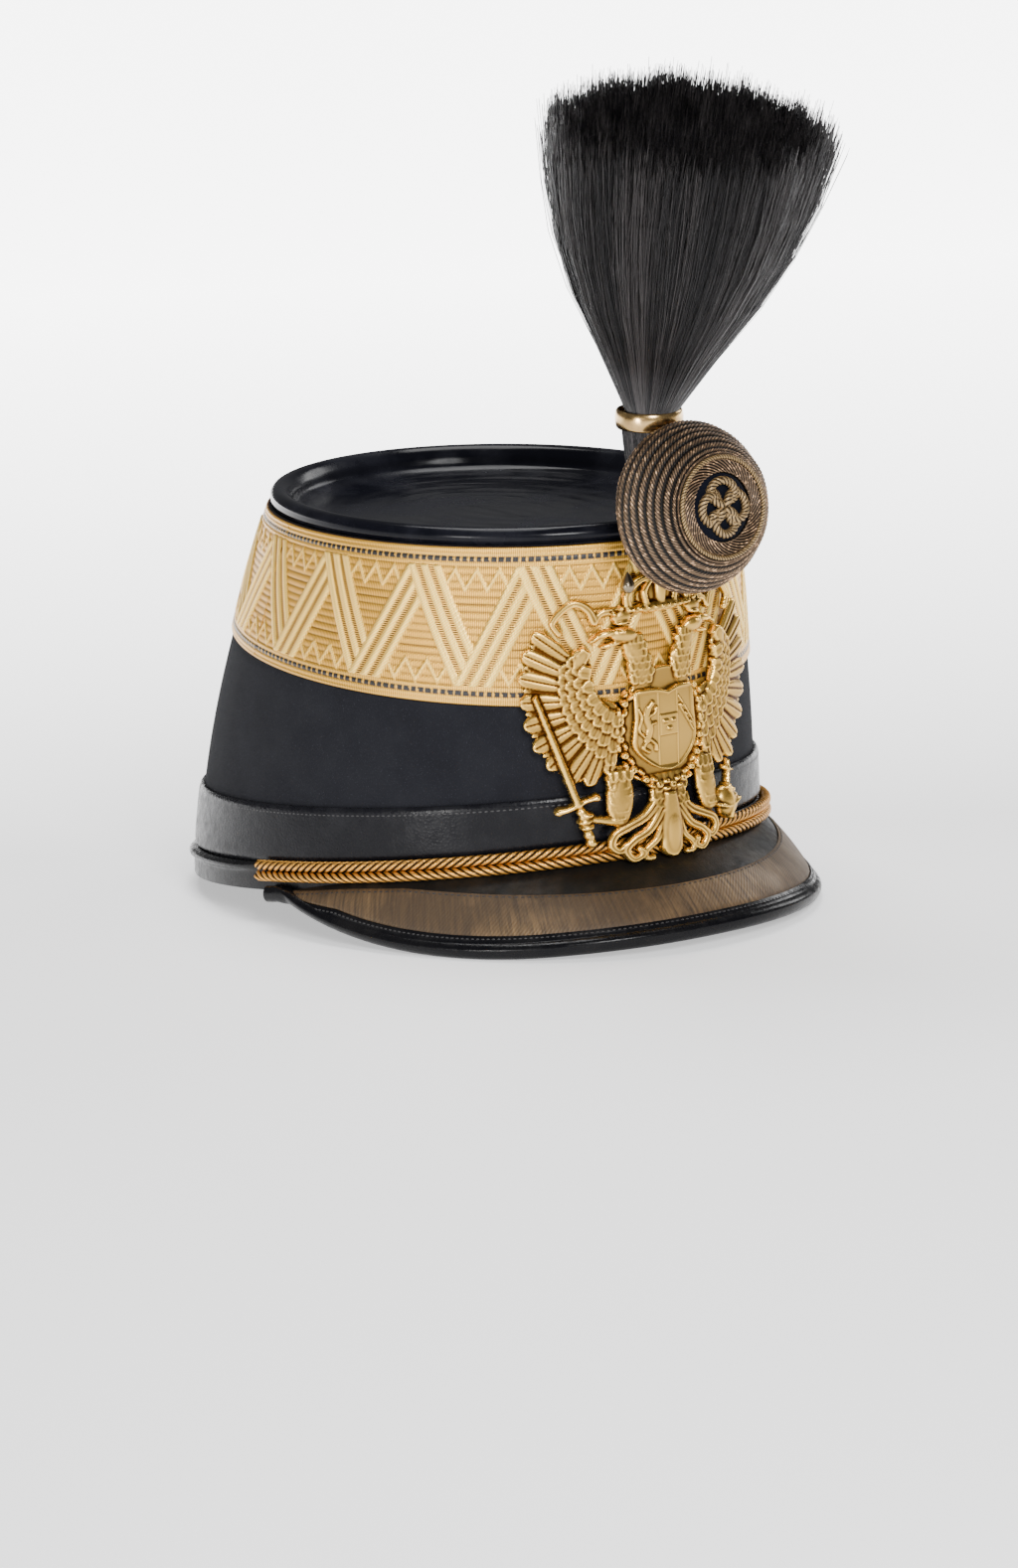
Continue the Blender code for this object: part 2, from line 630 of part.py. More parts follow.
def build_cockade(bullion, velvet, colour):
    """The domed boss, the flat ring on its face, the velvet in the ring and its rosette."""
    seat = COCKADE_DEPTH - COCKADE_TRIM - GAP
    face = COCKADE_FACE_RADIUS
    rim = COCKADE_RADIUS
    boss = [(rim * 0.4, 0.0), (rim * 0.82, 0.0), (rim * 0.93, COCKADE_DEPTH * 0.07),
            (rim, COCKADE_DEPTH * 0.22), (rim * 0.975, COCKADE_DEPTH * 0.42),
            (lerp(rim, face, 0.28), COCKADE_DEPTH * 0.6), (lerp(rim, face, 0.58), COCKADE_DEPTH * 0.78),
            (lerp(rim, face, 0.86), COCKADE_DEPTH * 0.93), (face, COCKADE_DEPTH),
            (face - 1.4 * MM, COCKADE_DEPTH), (face - 1.5 * MM, seat), (face * 0.3, seat)]
    build_turned("cockade_boss", boss, 32, bullion, cockade_point)
    base = seat + GAP
    ring = [(VELVET_RADIUS + GAP, base), (face - 1.5 * MM - GAP, base),
            (face - 1.5 * MM - GAP, base + COCKADE_TRIM * 0.6),
            (lerp(VELVET_RADIUS, face, 0.5), base + COCKADE_TRIM),
            (VELVET_RADIUS + GAP, base + COCKADE_TRIM * 0.8)]
    build_turned("cockade_ring", ring, 36, bullion, cockade_point, True)
    plush = COCKADE_TRIM * 0.45
    disc = [(VELVET_RADIUS * 0.5, base), (VELVET_RADIUS, base), (VELVET_RADIUS, base + plush),
            (VELVET_RADIUS * 0.5, base + plush)]
    build_turned("cockade_velvet", disc, 32, velvet, cockade_point)
    build_ornament(base + plush + GAP, colour)


def build_ornament(base, colour):
    """An eight-lobed rosette of bullion on the velvet."""
    rows = [(0.4, 0.0), (0.96, 0.0), (1.0, 0.5), (0.85, 1.0), (0.3, 1.1)]
    loops = []
    for size, rise in rows:
        loop = []
        for angle in round_angles(32):
            lobe = 0.8 + 0.2 * math.cos(8 * angle)
            forward = base + COCKADE_TRIM * 0.7 * rise
            loop.append(cockade_point(angle, ORNAMENT_RADIUS * size * lobe, forward))
        loops.append(loop)
    return loft("cockade_ornament", loops, colour, False)


def socket_point(angle, radius, height):
    return Vector((radius * math.sin(angle), radius * math.cos(angle) - socket_forward(), height))


def build_socket(colour):
    """The upright tube behind the cockade that holds the plume's stem."""
    bore = SOCKET_RADIUS - SOCKET_WALL
    profile = [(SOCKET_RADIUS, SOCKET_FOOT), (SOCKET_RADIUS, SOCKET_TOP), (bore, SOCKET_TOP),
               (bore, SOCKET_FOOT)]
    return build_turned("plume_socket", profile, 20, colour, socket_point, True)


def tilted_frame(tilt):
    """A frame at the ferrule's middle with its Z along an axis that leans forward."""
    place = Matrix.Translation((0, -FERRULE_FORWARD, FERRULE_HEIGHT))
    return place @ Matrix.Rotation(tilt, 4, "X")


def frame_point(frame):
    """A function that places turned points in a frame, for build_turned."""
    def place(angle, radius, along):
        return frame @ Vector((radius * math.sin(angle), -radius * math.cos(angle), along))
    return place


def build_ferrule(colour):
    """The domed brass ring round the foot of the hair."""
    bore = FERRULE_RADIUS - FERRULE_WALL
    half = FERRULE_LENGTH / 2
    profile = [(bore, -half), (FERRULE_RADIUS * 0.95, -half), (FERRULE_RADIUS * 0.99, -half * 0.6),
               (FERRULE_RADIUS, 0.0), (FERRULE_RADIUS * 0.99, half * 0.6),
               (FERRULE_RADIUS * 0.95, half), (bore, half)]
    build_turned("plume_ferrule", profile, 28, colour, frame_point(tilted_frame(FERRULE_TILT)), True)


def build_stem(colour):
    """The bound hair between the ferrule and the socket."""
    bore = SOCKET_RADIUS - SOCKET_WALL - GAP
    top = tilted_frame(FERRULE_TILT)
    start = -FERRULE_LENGTH / 2 - GAP
    loops = [[top @ Vector((STEM_RADIUS * math.sin(turn), -STEM_RADIUS * math.cos(turn), start))
              for turn in round_angles(20)]]
    rows = [(0.35, 0.86), (0.7, 0.64)]
    foot_of_top = top @ Vector((0, 0, start))
    for share, size in rows:
        height = lerp(foot_of_top.z, SOCKET_TOP, share)
        middle = lerp(foot_of_top.y, -socket_forward(), share)
        radius = STEM_RADIUS * size
        loops.append([Vector((radius * math.sin(turn), middle - radius * math.cos(turn), height))
                      for turn in round_angles(20)])
    for height in (SOCKET_TOP, SOCKET_FOOT + GAP):
        loops.append([Vector((bore * math.sin(turn), -socket_forward() - bore * math.cos(turn), height))
                      for turn in round_angles(20)])
    return loft("plume_stem", loops, colour, False)


# Distance from the ferrule as a share of the plume's length, and radius as a share of its widest
PLUME_PROFILE = [
    (0.075, 0.25), (0.12, 0.3), (0.2, 0.385), (0.3, 0.52), (0.42, 0.67), (0.55, 0.81), (0.7, 0.93),
    (0.84, 1.0), (0.93, 1.0), (0.975, 0.93), (1.0, 0.7), (1.02, 0.35)]


def build_hair(colour):
    """The spread horsehair: a leaning flare with a flat domed top."""
    neck = FERRULE_RADIUS - FERRULE_WALL - GAP
    ring = tilted_frame(FERRULE_TILT)
    spread = tilted_frame(PLUME_LEAN)
    turns = round_angles(32)
    loops = [[ring @ Vector((neck * math.sin(turn), -neck * math.cos(turn), along)) for turn in turns]
             for along in (-FERRULE_LENGTH / 2, FERRULE_LENGTH / 2)]
    for along, size in PLUME_PROFILE:
        radius = max(PLUME_RADIUS * size, neck)
        loops.append([spread @ Vector((radius * math.sin(turn), -radius * math.cos(turn),
                                       PLUME_LENGTH * along)) for turn in turns])
    return loft("plume_hair", loops, colour, False)


def build_knob(colour):
    """The teardrop knob on the lace, at the lower left of the cockade."""
    half_width, _, _ = outline_at(KNOB_HEIGHT / CROWN_HEIGHT)
    angle = KNOB_SIDE / half_width
    seat = GAP * 2 + TRIM + KNOB_RADIUS
    foot = wall_point(angle, share_at(angle, KNOB_HEIGHT - KNOB_LENGTH / 2), seat)
    head = wall_point(angle, share_at(angle, KNOB_HEIGHT + KNOB_LENGTH / 2), seat)
    upward = (head - foot).normalized()
    turned = Vector((0, 0, 1)).rotation_difference(upward).to_matrix().to_4x4()
    frame = Matrix.Translation(foot) @ turned
    profile = [(0.3, 0.0), (0.78, 0.12), (1.0, 0.32), (0.92, 0.5), (0.62, 0.7), (0.32, 0.88), (0.1, 1.0)]
    scaled = [(radius * KNOB_RADIUS, along * KNOB_LENGTH) for radius, along in profile]
    return build_turned("loop_knob", scaled, 14, colour, frame_point(frame))


def all_points(objects):
    """Every vertex of the finished pieces in the hat's own frame."""
    found = []
    for item in objects:
        data = evaluated_mesh(item)
        points = np.empty(len(data.vertices) * 3)
        data.vertices.foreach_get("co", points)
        found.append(points.reshape(-1, 3))
        bpy.data.meshes.remove(data)
    return np.concatenate(found)


def settle():
    """Tip the hat back until peak and rear rim both touch the ground, and centre its box."""
    points = all_points(hat.objects)
    rear = points[points[:, 2] < GAP][:, 1].max()
    ahead = points[points[:, 1] < 0]
    tip = np.arctan2(-ahead[:, 2], rear - ahead[:, 1]).max()
    turn = Matrix.Rotation(-tip, 3, "X")
    turned = points @ np.array(turn).T
    low = turned.min(axis=0)
    high = turned.max(axis=0)
    rest_frame.rotation_euler = (-tip, 0, 0)
    rest_frame.location = (-(low[0] + high[0]) / 2, -(low[1] + high[1]) / 2, -low[2])


for item in list(bpy.data.objects):
    bpy.data.objects.remove(item)

hat = bpy.data.collections.new("shako")
bpy.context.scene.collection.children.link(hat)
rest_frame = bpy.data.objects.new("rest_frame", None)
bpy.context.scene.collection.objects.link(rest_frame)

cloth = material("navy_cloth", (0.012, 0.013, 0.02), 0.9, 0.0)
lacquer = material("black_lacquer", (0.008, 0.008, 0.01), 0.12, 0.0)
gold_lace = material("gold_lace", (0.72, 0.48, 0.16), 0.42, 0.8)
band_leather = material("band_leather", (0.015, 0.015, 0.018), 0.45, 0.0)
peak_leather = material("peak_leather", (0.02, 0.018, 0.015), 0.5, 0.0)
worn_lace = material("worn_lace", (0.16, 0.1, 0.04), 0.55, 0.3)
edge_leather = material("edge_leather", (0.01, 0.01, 0.012), 0.22, 0.0)
gold_cord = material("gold_cord", (0.62, 0.36, 0.12), 0.35, 0.9)
gilt = material("gilt", (0.85, 0.56, 0.2), 0.25, 1.0)
bullion = material("bullion", (0.17, 0.11, 0.065), 0.5, 0.6)
velvet = material("velvet", (0.006, 0.006, 0.01), 0.95, 0.0)
horsehair = material("horsehair", (0.008, 0.007, 0.008), 0.4, 0.0)
brass = material("brass", (0.62, 0.42, 0.18), 0.2, 1.0)
steel = material("knob_metal", (0.35, 0.3, 0.22), 0.3, 0.9)

build_crown_body(cloth)
build_crown_top(lacquer)
build_band("lace_band", lambda angle: LACE_FOOT - LACE_FOOT_TILT * math.cos(angle), LACE_HEAD, 2, gold_lace)
build_band("lower_band", lambda angle: BINDING_HEIGHT + 2 * GAP, BAND_TOP / CROWN_HEIGHT, 1, band_leather)
build_rim_binding(edge_leather)
build_peak(peak_leather)
build_peak_lace(worn_lace)
build_peak_binding(edge_leather)
build_cord("cord_upper", 1, gold_cord)
build_cord("cord_lower", -1, gold_cord)
build_eagle(gilt)
build_shield(gilt)
build_cockade(bullion, velvet, bullion)
build_socket(band_leather)
build_stem(horsehair)
build_ferrule(brass)
build_hair(horsehair)
build_knob(steel)
settle()
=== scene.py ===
# %% [markdown]
# A parade shako, dressed for its portrait.
#
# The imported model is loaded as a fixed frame: it says where every piece sits and how large it
# is. This script lays a finer surface over each solid, gives it a finish, and lights the hat.

# %% Load the frame
import json
import math

import bpy
import numpy as np
from mathutils import Matrix, Vector


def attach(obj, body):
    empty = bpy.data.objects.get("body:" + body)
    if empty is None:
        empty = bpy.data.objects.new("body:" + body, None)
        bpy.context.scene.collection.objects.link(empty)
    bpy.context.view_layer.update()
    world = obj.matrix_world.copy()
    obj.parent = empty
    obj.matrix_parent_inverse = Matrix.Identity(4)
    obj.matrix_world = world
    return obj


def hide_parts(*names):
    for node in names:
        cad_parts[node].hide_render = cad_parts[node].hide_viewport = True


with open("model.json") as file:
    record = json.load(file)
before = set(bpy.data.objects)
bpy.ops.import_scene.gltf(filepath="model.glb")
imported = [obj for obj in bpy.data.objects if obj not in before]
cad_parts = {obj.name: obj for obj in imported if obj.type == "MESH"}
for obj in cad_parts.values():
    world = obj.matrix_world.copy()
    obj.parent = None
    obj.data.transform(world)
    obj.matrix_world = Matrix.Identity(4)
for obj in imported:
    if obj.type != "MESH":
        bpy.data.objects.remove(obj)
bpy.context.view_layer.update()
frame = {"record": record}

MM = 0.001
dice = np.random.default_rng(11)

# %% [markdown]
# The hat stands on its rear rim and on the edge of its peak, so it is tipped back a little. It
# is easier to shape in a frame of its own, with the rim flat at z = 0 and the front at -Y. The
# record's mount at the mouth of the hat gives the tip and the place, so nothing is guessed.

# %% The hat's own frame
RIM_SHIFT = -0.4 * MM
mouth = next(mount for mount in frame["record"]["mounts"] if mount["name"] == "head_opening")
TIP = math.atan2(-mouth["axis"][1], -mouth["axis"][2])
tip_turn = np.array(Matrix.Rotation(-TIP, 3, "X"))
hat_place = np.array(mouth["pos_m"]) - tip_turn @ np.array([0.0, RIM_SHIFT, 0.0])


def to_world(points):
    """Turn by the tip about X, then shift: world = turn * point + place."""
    return points @ tip_turn.T + hat_place


print("hat tipped back by", round(math.degrees(TIP), 2), "degrees")

# %% [markdown]
# Every piece here is a grid of points, rows by columns. A ring of trim wraps both ways, and a
# turned or swept piece wraps one way and is closed by a small fan at each end. One helper turns
# such a grid into a mesh, and looks at the sign of its volume to make its faces point outwards.


# %% Grids of points become pieces
def grid_corners(rows, columns, wrap_rows, wrap_columns):
    """The four corners of each cell, as rows and columns that run on past the wrap."""
    row = np.arange(rows if wrap_rows else rows - 1)
    column = np.arange(columns if wrap_columns else columns - 1)
    row, column = (side.ravel() for side in np.meshgrid(row, column, indexing="ij"))
    return np.stack([row, row, row + 1, row + 1], 1), np.stack([column, column + 1, column + 1, column], 1)


def fan(ring, centre, reverse):
    """Triangles from a ring of points to the point at its centre."""
    after = np.roll(ring, -1)
    middle = np.full(len(ring), centre)
    return np.stack([after, ring, middle] if reverse else [ring, after, middle], 1)


def signed_volume(points, triangles):
    """A sixth of the sum of the triple products of the triangles' corners."""
    a, b, c = (points[triangles[:, side]] for side in range(3))
    return float(np.einsum("ij,ij->i", a, np.cross(b, c)).sum() / 6)


def fill_mesh(name, points, quads, triangles, uv=None, marks=None, sharp=40):
    """A smooth mesh from arrays: points, corner indices, a UV per corner and point marks."""
    corners = np.concatenate([quads.ravel(), triangles.ravel()]).astype(np.int32)
    sizes = np.concatenate([np.full(len(quads), 4), np.full(len(triangles), 3)]).astype(np.int32)
    mesh = bpy.data.meshes.new(name)
    mesh.vertices.add(len(points))
    mesh.vertices.foreach_set("co", points.astype(np.float32).ravel())
    mesh.loops.add(len(corners))
    mesh.loops.foreach_set("vertex_index", corners)
    mesh.polygons.add(len(sizes))
    mesh.polygons.foreach_set("loop_start", (np.cumsum(sizes) - sizes).astype(np.int32))
    mesh.polygons.foreach_set("loop_total", sizes)
    mesh.update(calc_edges=True)
    if uv is not None:
        layer = mesh.uv_layers.new(name="UVMap")
        layer.data.foreach_set("uv", uv.astype(np.float32).ravel())
    for mark, values in (marks or {}).items():
        attribute = mesh.attributes.new(mark, "FLOAT", "POINT")
        attribute.data.foreach_set("value", values.astype(np.float32).ravel())
    mesh.validate()
    mesh.shade_smooth()
    mesh.set_sharp_from_angle(angle=math.radians(sharp))
    return mesh


def place_piece(name, mesh, finish, nodes):
    """Add the piece to the scene, on the hat's one body, in place of its CAD solids."""
    piece = bpy.data.objects.new(name, mesh)
    mesh.materials.append(finish)
    bpy.context.scene.collection.objects.link(piece)
    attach(piece, "root")
    if nodes:
        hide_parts(*nodes)
    return piece


def make_piece(name, points, finish, nodes=(), wrap_rows=False, wrap_columns=True,
               uv=None, marks=None, sharp=40, placed=to_world):
    """A closed piece from a grid of points; open rows are closed by a fan at each end."""
    rows, columns = points.shape[:2]
    corner_row, corner_column = grid_corners(rows, columns, wrap_rows, wrap_columns)
    quads = (corner_row % rows) * columns + corner_column % columns
    flat = points.reshape(-1, 3)
    triangles = np.zeros((0, 3), int)
    if not wrap_rows:
        flat = np.concatenate([flat, points[:1].mean(1), points[-1:].mean(1)])
        ring = np.arange(columns)
        triangles = np.concatenate([fan(ring, rows * columns, True),
                                    fan(ring + (rows - 1) * columns, rows * columns + 1, False)])
    split = np.concatenate([quads[:, [0, 1, 2]], quads[:, [0, 2, 3]], triangles])
    corner_uv = None
    if uv is not None:
        corner_uv = uv[corner_row, corner_column]
    if signed_volume(flat, split) < 0:
        quads = quads[:, ::-1]
        triangles = triangles[:, ::-1]
        corner_uv = None if uv is None else corner_uv[:, ::-1]
    if uv is not None:
        corner_uv = np.concatenate([corner_uv.reshape(-1, 2), np.zeros((triangles.size, 2))])
    if marks:
        ends = 0 if wrap_rows else 2
        marks = {mark: np.concatenate([values.ravel(), np.full(ends, values.mean())])
                 for mark, values in marks.items()}
    mesh = fill_mesh(name, placed(flat), quads, triangles, corner_uv, marks, sharp)
    return place_piece(name, mesh, finish, nodes)


def fill_copies(name, each, quads, triangles, marks=None, sharp=40):
    """One mesh of many small pieces: a row of points for each, and the same faces for all."""
    count, size = each.shape[:2]
    split = np.concatenate([quads[:, [0, 1, 2]], quads[:, [0, 2, 3]], triangles])
    if signed_volume(each[0] - each[0].mean(0), split) < 0:
        quads, triangles = quads[:, ::-1], triangles[:, ::-1]
    offset = (np.arange(count) * size)[:, None, None]
    return fill_mesh(name, to_world(each.reshape(-1, 3)), (quads[None] + offset).reshape(-1, 4),
                     (triangles[None] + offset).reshape(-1, 3), None, marks, sharp)


def smooth_line(points, count):
    """A Catmull-Rom curve through the points, sampled evenly in its own parameter."""
    points = np.asarray(points, float)
    padded = np.concatenate([2 * points[:1] - points[1:2], points, 2 * points[-1:] - points[-2:-1]])
    place = np.linspace(0, len(points) - 1, count)
    first = np.minimum(place.astype(int), len(points) - 2)
    t = (place - first)[:, None]
    p0, p1, p2, p3 = (padded[first + step] for step in range(4))
    return 0.5 * (2 * p1 + (p2 - p0) * t + (2 * p0 - 5 * p1 + 4 * p2 - p3) * t ** 2
                  + (3 * p1 - p0 - 3 * p2 + p3) * t ** 3)


def smooth_step(low, high, value):
    """0 below low, 1 above high, and t*t*(3 - 2t) between them."""
    t = np.clip((value - low) / (high - low), 0, 1)
    return t * t * (3 - 2 * t)


# %% [markdown]
# A finish is a Principled shader with a few texture nodes. Wool, leather, thread and hair are
# all told apart by their grain, so the helper below keeps noise, colour mixes and bumps short
# to write. Patterns read Object coordinates in metres, or a piece's own UV map or marks.


# %% A helper for finishes
class Finish:
    """A material under construction, with short calls for the nodes that it needs."""

    def __init__(self, name, colour, roughness, metallic=0.0, **sockets):
        self.material = bpy.data.materials.new(name)
        self.material.use_nodes = True
        self.tree = self.material.node_tree
        self.shader = self.tree.nodes["Principled BSDF"]
        self.put("Base Color", colour)
        self.put("Roughness", roughness)
        self.put("Metallic", metallic)
        for socket, value in sockets.items():
            self.put(socket.replace("_", " "), value)

    def feed(self, socket, value):
        if isinstance(value, bpy.types.NodeSocket):
            self.tree.links.new(value, socket)
        elif isinstance(value, tuple) and len(value) == 3 and socket.type == "RGBA":
            socket.default_value = (*value, 1.0)
        else:
            socket.default_value = value

    def put(self, socket, value):
        self.feed(self.shader.inputs[socket], value)

    def add(self, kind, inputs, **settings):
        node = self.tree.nodes.new(kind)
        for key, value in settings.items():
            setattr(node, key, value)
        for key, value in inputs.items():
            self.feed(node.inputs[key], value)
        return node

    def mark(self, name):
        return self.add("ShaderNodeAttribute", {}, attribute_name=name).outputs["Fac"]

    def place(self, scale=(1, 1, 1), turn=(0, 0, 0), source="Object"):
        """Object or UV coordinates, turned and stretched."""
        where = self.add("ShaderNodeTexCoord", {}).outputs[source]
        return self.add("ShaderNodeMapping", {"Vector": where, "Scale": scale, "Rotation": turn}).outputs[0]

    def noise(self, scale, where=None, detail=4.0, rough=0.55):
        where = where or self.place()
        return self.add("ShaderNodeTexNoise", {"Vector": where, "Scale": scale, "Detail": detail,
                                               "Roughness": rough}).outputs["Fac"]

    def cells(self, scale):
        return self.add("ShaderNodeTexVoronoi", {"Vector": self.place(), "Scale": scale}).outputs["Distance"]

    def stripes(self, scale, where, distortion=0.0, direction="X"):
        return self.add("ShaderNodeTexWave", {"Vector": where, "Scale": scale, "Distortion": distortion},
                        bands_direction=direction).outputs["Fac"]

    def remap(self, value, low, high, to_low=0.0, to_high=1.0):
        return self.add("ShaderNodeMapRange", {"Value": value, "From Min": low, "From Max": high,
                                               "To Min": to_low, "To Max": to_high}).outputs[0]

    def sum(self, operation, first, second):
        node = self.add("ShaderNodeMath", {}, operation=operation)
        self.feed(node.inputs[0], first)
        self.feed(node.inputs[1], second)
        return node.outputs[0]

    def mix(self, share, first, second):
        node = self.add("ShaderNodeMix", {}, data_type="RGBA")
        self.feed(node.inputs[0], share)
        self.feed(node.inputs[6], first)
        self.feed(node.inputs[7], second)
        return node.outputs[2]

    def bump(self, height, distance, strength=1.0, under=None):
        inputs = {"Height": height, "Distance": distance, "Strength": strength}
        if under is not None:
            inputs["Normal"] = under
        return self.add("ShaderNodeBump", inputs).outputs["Normal"]


# %% [markdown]
# Dark wool cloth: fulled, so the weave is closed and only a soft nap shows. A fine noise lifts
# the nap and lightens single fibres, and sheen gives the pale edge that wool has.

# %% Wool cloth
wool = Finish("navy_wool", (0.011, 0.012, 0.02), 0.95, Sheen_Weight=0.02, Specular_IOR_Level=0.12)
nap = wool.noise(1500, detail=6, rough=0.7)
lint = wool.remap(wool.noise(2600, detail=2), 0.62, 0.74)
ground = wool.mix(wool.remap(wool.noise(60), 0.3, 0.7), (0.0085, 0.0088, 0.0118), (0.0125, 0.013, 0.0165))
wool.put("Base Color", wool.mix(lint, ground, (0.03, 0.031, 0.04)))
wool.put("Normal", wool.bump(nap, 0.00025, 0.7))

# %% [markdown]
# Leather comes three ways on a shako: lacquered on the top, grained on the lower band and dull
# on the peak. All share a cell pattern for the grain and a slower noise that makes them paler in patches.

# %% Leathers
lacquer = Finish("black_lacquer", (0.004, 0.004, 0.006), 0.2, Specular_IOR_Level=0.12)
bloom = lacquer.remap(lacquer.noise(38, detail=5), 0.46, 0.62)
lacquer.put("Roughness", lacquer.remap(bloom, 0, 1, 0.16, 0.3))
lacquer.put("Base Color", lacquer.mix(bloom, (0.0035, 0.0037, 0.006), (0.008, 0.0083, 0.012)))
swell = lacquer.bump(lacquer.noise(26, detail=2), 0.0006, 0.2)
lacquer.put("Normal", lacquer.bump(lacquer.noise(1100, detail=3), 0.00005, 0.2, swell))


def grained_leather(name, dark, pale, roughness, grain, depth):
    """Leather whose grain is the distance to the nearest of many cells, paler in random patches."""
    leather = Finish(name, dark, roughness, Specular_IOR_Level=0.15)
    pale_patches = leather.remap(leather.noise(45, detail=7, rough=0.65), 0.45, 0.75)
    leather.put("Base Color", leather.mix(pale_patches, dark, pale))
    leather.put("Roughness", leather.remap(leather.noise(300, detail=5), 0.3, 0.7,
                                           roughness - 0.1, roughness + 0.14))
    pits = leather.cells(grain)
    crease = leather.bump(leather.noise(120, detail=6, rough=0.6), 0.0003, 0.1)
    leather.put("Normal", leather.bump(pits, depth, 0.45, crease))
    return leather


band_leather = grained_leather("band_leather", (0.005, 0.005, 0.0068), (0.014, 0.014, 0.0165),
                               roughness=0.26, grain=1100, depth=0.00012)
peak_leather = grained_leather("peak_leather", (0.006, 0.0056, 0.005), (0.026, 0.018, 0.011),
                               roughness=0.42, grain=1300, depth=0.0001)
edge_leather = grained_leather("edge_leather", (0.0035, 0.0035, 0.0045), (0.009, 0.0085, 0.009),
                               roughness=0.24, grain=900, depth=0.00006)

# %% [markdown]
# Metal thread is bright on its ridges, and its grooves are painted dark as shade. The lace, the
# cord and the bullion all carry a mark called depth, 0 in a groove and 1 on a ridge, and their
# finish reads it to paint that shade. A fine bump along the thread's own UV gives the single
# windings of the wire.


# %% Metal threads
def thread_finish(name, bright, groove_shade, roughness, metallic, winding, ply=0.00008):
    """Ridges take the bright colour and grooves the dark painted shade; windings are fine stripes."""
    thread = Finish(name, bright, roughness, metallic)
    ridge = thread.remap(thread.mark("depth"), 0.35, 0.9)
    tarnish = thread.remap(thread.noise(160, detail=6, rough=0.7), 0.35, 0.7)
    shade = thread.mix(tarnish, tuple(0.78 * part for part in bright), bright)
    # Painted shade: grooves take the dark colour, ridges the bright one.
    thread.put("Base Color", thread.mix(ridge, groove_shade, shade))
    wire = thread.stripes(winding, thread.place(source="UV", turn=(0, 0, 0.6)), 1.0)
    fine = thread.bump(thread.noise(2400, detail=2), 0.00006, 0.4)
    thread.put("Normal", thread.bump(wire, ply, 0.6, fine))
    return thread


gold_cord = thread_finish("gold_cord", (0.9, 0.43, 0.075), (0.006, 0.003, 0.001), 0.34, 0.8, 560)
knot_gold = thread_finish("knot_gold", (0.44, 0.29, 0.13), (0.02, 0.011, 0.004), 0.42, 0.6, 520)
bullion = thread_finish("bullion", (0.21, 0.135, 0.08), (0.004, 0.003, 0.002), 0.42, 0.6, 520)
bullion_colour = bullion.shader.inputs["Base Color"].links[0].from_socket
# Painted glints: copper-bright spots on the ridges of the coil.
painted_glint = bullion.remap(bullion.noise(700, detail=1), 0.55, 0.63)
painted_glint = bullion.sum("MULTIPLY", painted_glint, bullion.remap(bullion.mark("depth"), 0.6, 0.9))
bullion.put("Base Color", bullion.mix(painted_glint, bullion_colour, (0.8, 0.5, 0.28)))

# %% [markdown]
# Gold lace is woven from flat metal strip round a silk core. Satin ridges are pale, ribs are
# deeper gold, and the grooves are painted dark brown as shade. Marks say where the black dashes
# and the roped lines lie; the beads of a roped line and the warp over the ribs are stripes in the
# shader, painted darker between beads and between warp threads as shade.

# %% Gold lace
gold_lace = Finish("gold_lace", (0.9, 0.55, 0.18), 0.36, 0.65)
ridge_height = gold_lace.mark("depth")
warp = gold_lace.stripes(430, gold_lace.place(source="UV"), 0.6)
satin = gold_lace.stripes(400, gold_lace.place(source="UV", turn=(0, 0, 0.9)), 0.8)
beads = gold_lace.stripes(420, gold_lace.place(source="UV"), 0.2, "Y")
# Painted shade: darker between warp threads, dark brown in grooves and between a rope's beads.
warp_shaded_gold = gold_lace.mix(gold_lace.remap(warp, 0.2, 0.9), (0.5, 0.24, 0.024), (0.95, 0.52, 0.075))
groove_shaded_gold = gold_lace.mix(gold_lace.remap(ridge_height, 0.14, 0.36), (0.055, 0.02, 0.003), warp_shaded_gold)
pale_gold = gold_lace.mix(gold_lace.remap(satin, 0.1, 0.9), (1.0, 0.55, 0.08), (1.0, 0.76, 0.22))
full_gold = gold_lace.mix(gold_lace.remap(ridge_height, 0.42, 0.75), groove_shaded_gold, pale_gold)
bead_shaded_gold = gold_lace.mix(gold_lace.remap(beads, 0.45, 0.75), (0.035, 0.012, 0.002), (0.95, 0.5, 0.08))
roped_gold = gold_lace.mix(gold_lace.mark("rope"), full_gold, bead_shaded_gold)
dash = gold_lace.mark("dash")
gold_lace.put("Base Color", gold_lace.mix(dash, roped_gold, (0.006, 0.0055, 0.006)))
gold_lace.put("Metallic", gold_lace.remap(dash, 0, 1, 0.65, 0.0))
weave = gold_lace.bump(gold_lace.sum("ADD", warp, satin), 0.00009, 0.45)
gold_lace.put("Normal", weave)

worn_lace = Finish("worn_lace", (0.17, 0.1, 0.045), 0.5, 0.35)
hatch = worn_lace.stripes(330, worn_lace.place(source="UV", turn=(0, 0, 0.62)), 1.5)
scrape = worn_lace.noise(900, worn_lace.place((1, 0.06, 1), (0, 0, 0.62), "UV"), detail=6, rough=0.75)
patch = worn_lace.remap(worn_lace.noise(36, detail=5), 0.42, 0.68)
bronze = worn_lace.mix(patch, (0.095, 0.058, 0.028), (0.28, 0.175, 0.08))
worn_lace.put("Base Color", worn_lace.mix(worn_lace.remap(scrape, 0.35, 0.7), (0.045, 0.03, 0.018), bronze))
worn_lace.put("Normal", worn_lace.bump(hatch, 0.00012, 0.5))
worn_lace.put("Roughness", worn_lace.remap(patch, 0, 1, 0.6, 0.42))
